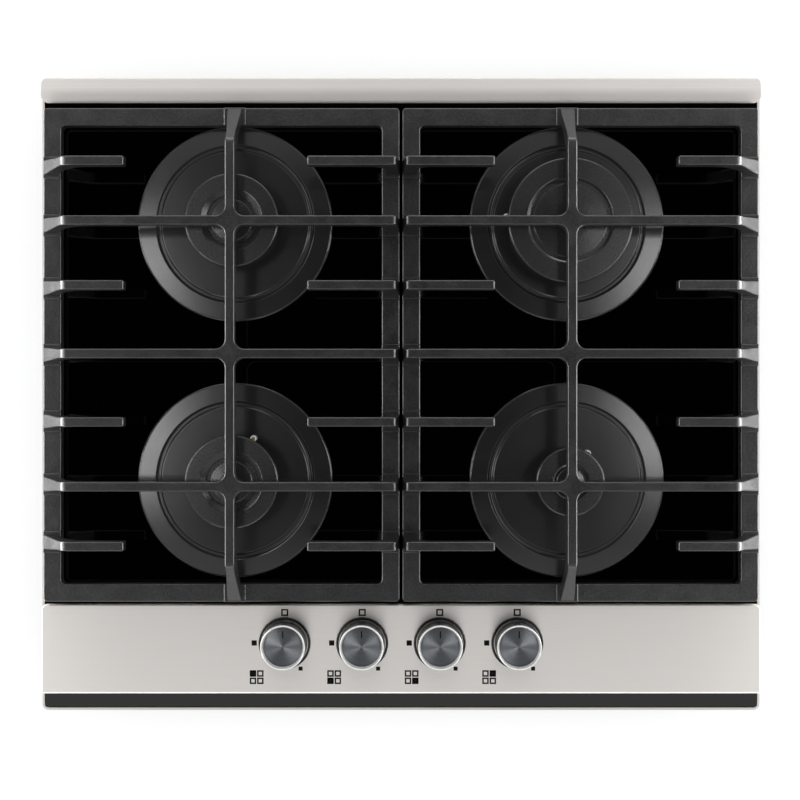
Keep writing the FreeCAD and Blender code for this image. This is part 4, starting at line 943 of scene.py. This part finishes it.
    def filled_cells(self, recipe: Recipe, axes: bpy.types.NodeSocket, cell: bpy.types.NodeSocket,
                     depth: bpy.types.NodeSocket) -> bpy.types.NodeSocket:
        """Filled square of each knob's own burner: left for the first two, rear for the outer two.

        Args:
            recipe: tree that takes it.
            axes: points on the knobs' axes.
            cell: side of a square.
            depth: thickness of the ink.

        Returns:
            The four squares, as instances.
        """
        half = self.cell_pitch / 2
        last = self.knob_count - 1
        index = recipe.node("GeometryNodeInputIndex").outputs["Index"]
        right = recipe.node("ShaderNodeMath", {0: index, 1: last / 2}, operation="GREATER_THAN")
        centred = recipe.node("ShaderNodeMath", {0: index, 1: last / 2}, operation="SUBTRACT")
        away = recipe.node("ShaderNodeMath", {0: centred.outputs["Value"]}, operation="ABSOLUTE")
        rear = recipe.node("ShaderNodeMath", {0: away.outputs["Value"], 1: 1.0},
                           operation="GREATER_THAN")
        across = recipe.node("ShaderNodeMapRange", {
            "Value": right.outputs["Value"], "To Min": self.icon_place[0] - half,
            "To Max": self.icon_place[0] + half})
        along = recipe.node("ShaderNodeMapRange", {
            "Value": rear.outputs["Value"], "To Min": self.icon_place[1] - half,
            "To Max": self.icon_place[1] + half})
        shift = recipe.node("ShaderNodeCombineXYZ", {"X": across.outputs["Result"],
                                                     "Y": along.outputs["Result"]})
        moved = recipe.node("GeometryNodeSetPosition", {"Geometry": axes,
                                                        "Offset": shift.outputs["Vector"]})
        return recipe.node("GeometryNodeInstanceOnPoints", {
            "Points": moved.outputs["Geometry"],
            "Instance": self.solid_square(recipe, cell, depth)}).outputs["Instances"]

    def printed(self, recipe: Recipe, axes: bpy.types.NodeSocket, shape: bpy.types.NodeSocket,
                place: Triple) -> bpy.types.NodeSocket:
        """Same shape beside every knob.

        Args:
            recipe: tree that takes it.
            axes: points on the knobs' axes.
            shape: what is printed.
            place: where it lies from the axis.

        Returns:
            The shapes, as instances.
        """
        moved = recipe.node("GeometryNodeTransform", {"Geometry": shape, "Translation": place})
        return recipe.node("GeometryNodeInstanceOnPoints", {
            "Points": axes, "Instance": moved.outputs["Geometry"]}).outputs["Instances"]


# ---------------------------------------------------------------- studio

@dataclass(frozen=True)
class SoftLamp:
    """Large flat lamp that faces the cooktop, for matt surfaces, for reflections, or both.

    Its width lies level and its height leans with its aim. Where it names pieces, it lights only
    those: a choice of this studio, which no real lamp could make. A square metre of its face gives
    face_watts at a brightness of one.
    """

    name: str
    place: Triple
    width: float
    height: float
    brightness: float
    lights_matt: bool = True
    shows_in_gloss: bool = True
    only_on: tuple[str, ...] = ()
    face_watts: float = 4.0

    def hang(self, scene: bpy.types.Scene) -> None:
        """Add the lamp; its power follows from its brightness and its face.

        Args:
            scene: scene that takes it.
        """
        data = bpy.data.lights.new(self.name, "AREA")
        data.shape = "RECTANGLE"
        data.size, data.size_y = self.width, self.height
        data.energy = self.brightness * self.face_watts * self.width * self.height
        lamp = bpy.data.objects.new(self.name, data)
        lamp.location = self.place
        aim = Vector((0, self.place[1], 0)) if self.place[0] else Vector()
        lamp.rotation_euler = (aim - Vector(self.place)).to_track_quat("-Z", "Y").to_euler()
        lamp.visible_camera = False
        lamp.visible_diffuse = self.lights_matt
        lamp.visible_glossy = self.shows_in_gloss
        if self.only_on:
            lit = bpy.data.collections.new(self.name + "_reach")
            for node in self.only_on:
                lit.objects.link(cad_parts.get(node) or bpy.data.objects[node])
            lamp.light_linking.receiver_collection = lit
        scene.collection.objects.link(lamp)


GRATES = ("grate_left", "grate_right")
ENAMEL = tuple(f"{stem}_{corner}" for stem in ("burner_dish", "burner_cap") for corner in CORNERS)
SPUN = tuple(f"knob_{corner}_disc" for corner in CORNERS)
LAMPS = (
    # Soft highlights on the dishes and caps, and spokes on the discs.
    SoftLamp("left_wing", (-0.86, 0.08, 2.15), 0.7, 0.38, 8.0, lights_matt=False,
             only_on=ENAMEL + SPUN),
    SoftLamp("right_wing", (0.86, 0.12, 2.15), 0.6, 0.38, 8.0, lights_matt=False,
             only_on=ENAMEL + SPUN),
    # More spokes on the discs.
    SoftLamp("left_glint", (-1.3, -0.1, 1.7), 0.5, 0.5, 12.0, lights_matt=False, only_on=SPUN),
    SoftLamp("right_glint", (1.3, -0.1, 1.7), 0.5, 0.5, 12.0, lights_matt=False, only_on=SPUN),
    # Pale outer legs on the pan supports, as seen from above.
    SoftLamp("left_kicker", (-0.6, -0.05, 0.02), 0.9, 0.3, 22.0, lights_matt=False, only_on=GRATES),
    SoftLamp("right_kicker", (0.6, -0.05, 0.02), 0.9, 0.3, 22.0, lights_matt=False, only_on=GRATES),
    # Sheen along the sides of the pan supports.
    SoftLamp("left_edge", (-1.6, 0.0, 0.75), 1.6, 0.4, 9.0, lights_matt=False, only_on=GRATES),
    SoftLamp("right_edge", (1.6, 0.0, 0.75), 1.6, 0.4, 9.0, lights_matt=False, only_on=GRATES),
    SoftLamp("rear_edge", (0.0, 1.6, 0.75), 1.6, 0.4, 7.0, lights_matt=False, only_on=GRATES),
    # Bands on every glossy edge, and no light on matt faces.
    SoftLamp("left_strip", (-1.5, 0.12, 0.78), 0.65, 1.4, 3.5, lights_matt=False),
    SoftLamp("right_strip", (1.5, 0.12, 0.78), 0.65, 1.4, 4.2, lights_matt=False),
    SoftLamp("front_strip", (0.0, -1.8, 0.35), 2.4, 0.5, 3.0, lights_matt=False),
    SoftLamp("rear_strip", (0.0, 1.8, 0.35), 2.4, 0.5, 3.0, lights_matt=False),
    # Level light on matt faces, and the soft shadow on the floor.
    SoftLamp("left_softbox", (-1.7, 0.0, 1.3), 1.0, 1.6, 1.2, shows_in_gloss=False),
    SoftLamp("right_softbox", (1.7, 0.1, 1.3), 1.0, 1.6, 1.6, shows_in_gloss=False),
    SoftLamp("front_softbox", (0.0, -1.6, 1.8), 1.8, 0.9, 1.3, shows_in_gloss=False),
    SoftLamp("rear_softbox", (0.0, 1.8, 1.9), 1.8, 0.9, 1.3, shows_in_gloss=False),
)


@dataclass
class Studio:
    """Pale floor, white surround, soft lamps and the camera over the cooktop."""

    camera_place: Triple = (-0.0008, -0.0049, 1.158)
    lens: float = 60.19
    floor_half: float = 12.0
    fill: float = 0.55
    card_height: float = 2.4
    card_x: float = 0.93
    card_front: float = -0.535
    card_rear: float = 0.775
    floor_lift: float = 0.55

    def build(self) -> None:
        """Set the camera, surround, floor, dark card and lamps."""
        scene = bpy.context.scene
        scene.view_settings.view_transform = "Standard"
        self.place_camera(scene)
        self.paint_world(scene)
        self.lay_floor(scene)
        self.hang_card(scene)
        for lamp in LAMPS:
            lamp.hang(scene)

    def place_camera(self, scene: bpy.types.Scene) -> None:
        """Hang the camera over the middle, looking straight down."""
        data = bpy.data.cameras.new("camera")
        data.lens = self.lens
        data.clip_start, data.clip_end = 0.01, 100.0
        camera = bpy.data.objects.new("camera", data)
        camera.location = self.camera_place
        scene.collection.objects.link(camera)
        scene.camera = camera

    def paint_world(self, scene: bpy.types.Scene) -> None:
        """White surround for the camera, gloss and glass, and a plain level for the fill."""
        world = bpy.data.worlds.new("white_surround")
        world.use_nodes = True
        tree = world.node_tree
        tree.nodes.clear()
        rays = add_node(tree, "ShaderNodeLightPath")
        seen = self.seen_directly(tree, rays)
        strength = add_node(tree, "ShaderNodeMapRange", {"Value": seen, "To Min": self.fill,
                                                         "To Max": 1.0})
        light = add_node(tree, "ShaderNodeBackground", {"Color": linear("#ffffff"),
                                                        "Strength": strength.outputs["Result"]})
        add_node(tree, "ShaderNodeOutputWorld", {"Surface": light.outputs["Background"]})
        scene.world = world

    def seen_directly(self, tree: bpy.types.NodeTree,
                      rays: bpy.types.Node) -> bpy.types.NodeSocket:
        """One for camera, gloss and transmission rays, otherwise zero.

        Args:
            tree: tree of the world or a staged material.
            rays: its Light Path node.

        Returns:
            The switching value.
        """
        total = rays.outputs["Is Camera Ray"]
        for name in ("Is Glossy Ray", "Is Transmission Ray"):
            total = add_node(tree, "ShaderNodeMath", {0: total, 1: rays.outputs[name]},
                             operation="MAXIMUM").outputs["Value"]
        return total

    def lay_floor(self, scene: bpy.types.Scene) -> None:
        """Pale floor that looks white, keeps a soft shadow, and is clear from below."""
        half = self.floor_half
        floor = self.card(scene, "floor", [(-half, -half, 0), (half, -half, 0), (half, half, 0),
                                           (-half, half, 0)])
        paint = bpy.data.materials.new("pale_floor")
        paint.use_nodes = True
        tree = paint.node_tree
        tree.nodes.clear()
        rays = add_node(tree, "ShaderNodeLightPath")
        matt = add_node(tree, "ShaderNodeBsdfDiffuse", {"Color": linear("#c8c8c8")})
        glow = add_node(tree, "ShaderNodeEmission", {"Color": linear("#ffffff"),
                                                     "Strength": self.floor_glow(tree, rays)})
        both = add_node(tree, "ShaderNodeAddShader", {0: matt.outputs["BSDF"],
                                                      1: glow.outputs["Emission"]})
        clear = add_node(tree, "ShaderNodeBsdfTransparent")
        side = add_node(tree, "ShaderNodeNewGeometry")
        top = add_node(tree, "ShaderNodeMixShader", {0: side.outputs["Backfacing"],
                                                     1: both.outputs["Shader"],
                                                     2: clear.outputs["BSDF"]})
        add_node(tree, "ShaderNodeOutputMaterial", {"Surface": top.outputs["Shader"]})
        floor.data.materials.append(paint)

    def floor_glow(self, tree: bpy.types.NodeTree, rays: bpy.types.Node) -> bpy.types.NodeSocket:
        """Glow that lifts the floor to white where it is seen, and lights nothing."""
        return add_node(tree, "ShaderNodeMath", {0: self.seen_directly(tree, rays),
                                                 1: self.floor_lift},
                        operation="MULTIPLY").outputs["Value"]

    def hang_card(self, scene: bpy.types.Scene) -> None:
        """Dark card over the camera, so that the glass mirrors black when seen from above."""
        z, x = self.card_height, self.card_x
        card = self.card(scene, "dark_card", [(-x, self.card_front, z), (-x, self.card_rear, z),
                                              (x, self.card_rear, z), (x, self.card_front, z)])
        felt = bpy.data.materials.new("black_felt")
        felt.use_nodes = True
        shader = felt.node_tree.nodes["Principled BSDF"]
        shader.inputs["Base Color"].default_value = (0, 0, 0, 1)
        shader.inputs["Specular IOR Level"].default_value = 0
        card.data.materials.append(felt)
        card.visible_camera = False
        card.visible_diffuse = False
        card.visible_shadow = False

    def card(self, scene: bpy.types.Scene, name: str,
             corners: Sequence[Triple]) -> bpy.types.Object:
        """Flat staged sheet.

        Args:
            scene: scene that takes it.
            name: its name.
            corners: its corners in order.

        Returns:
            The staged object.
        """
        mesh = bpy.data.meshes.new(name)
        mesh.from_pydata(corners, [], [tuple(range(len(corners)))])
        sheet = bpy.data.objects.new(name, mesh)
        scene.collection.objects.link(sheet)
        return sheet


def main() -> None:
    """Build every sub-assembly and then the studio, whose lamps name pieces."""
    logging.basicConfig(level=logging.INFO)
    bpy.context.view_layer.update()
    for part in (Housing(), GlassTop(), GasTrain(), Ignition(), Burners(), PanSupports(),
                 Controls()):
        part.build()
    Studio().build()


if __name__ == "__main__":
    main()
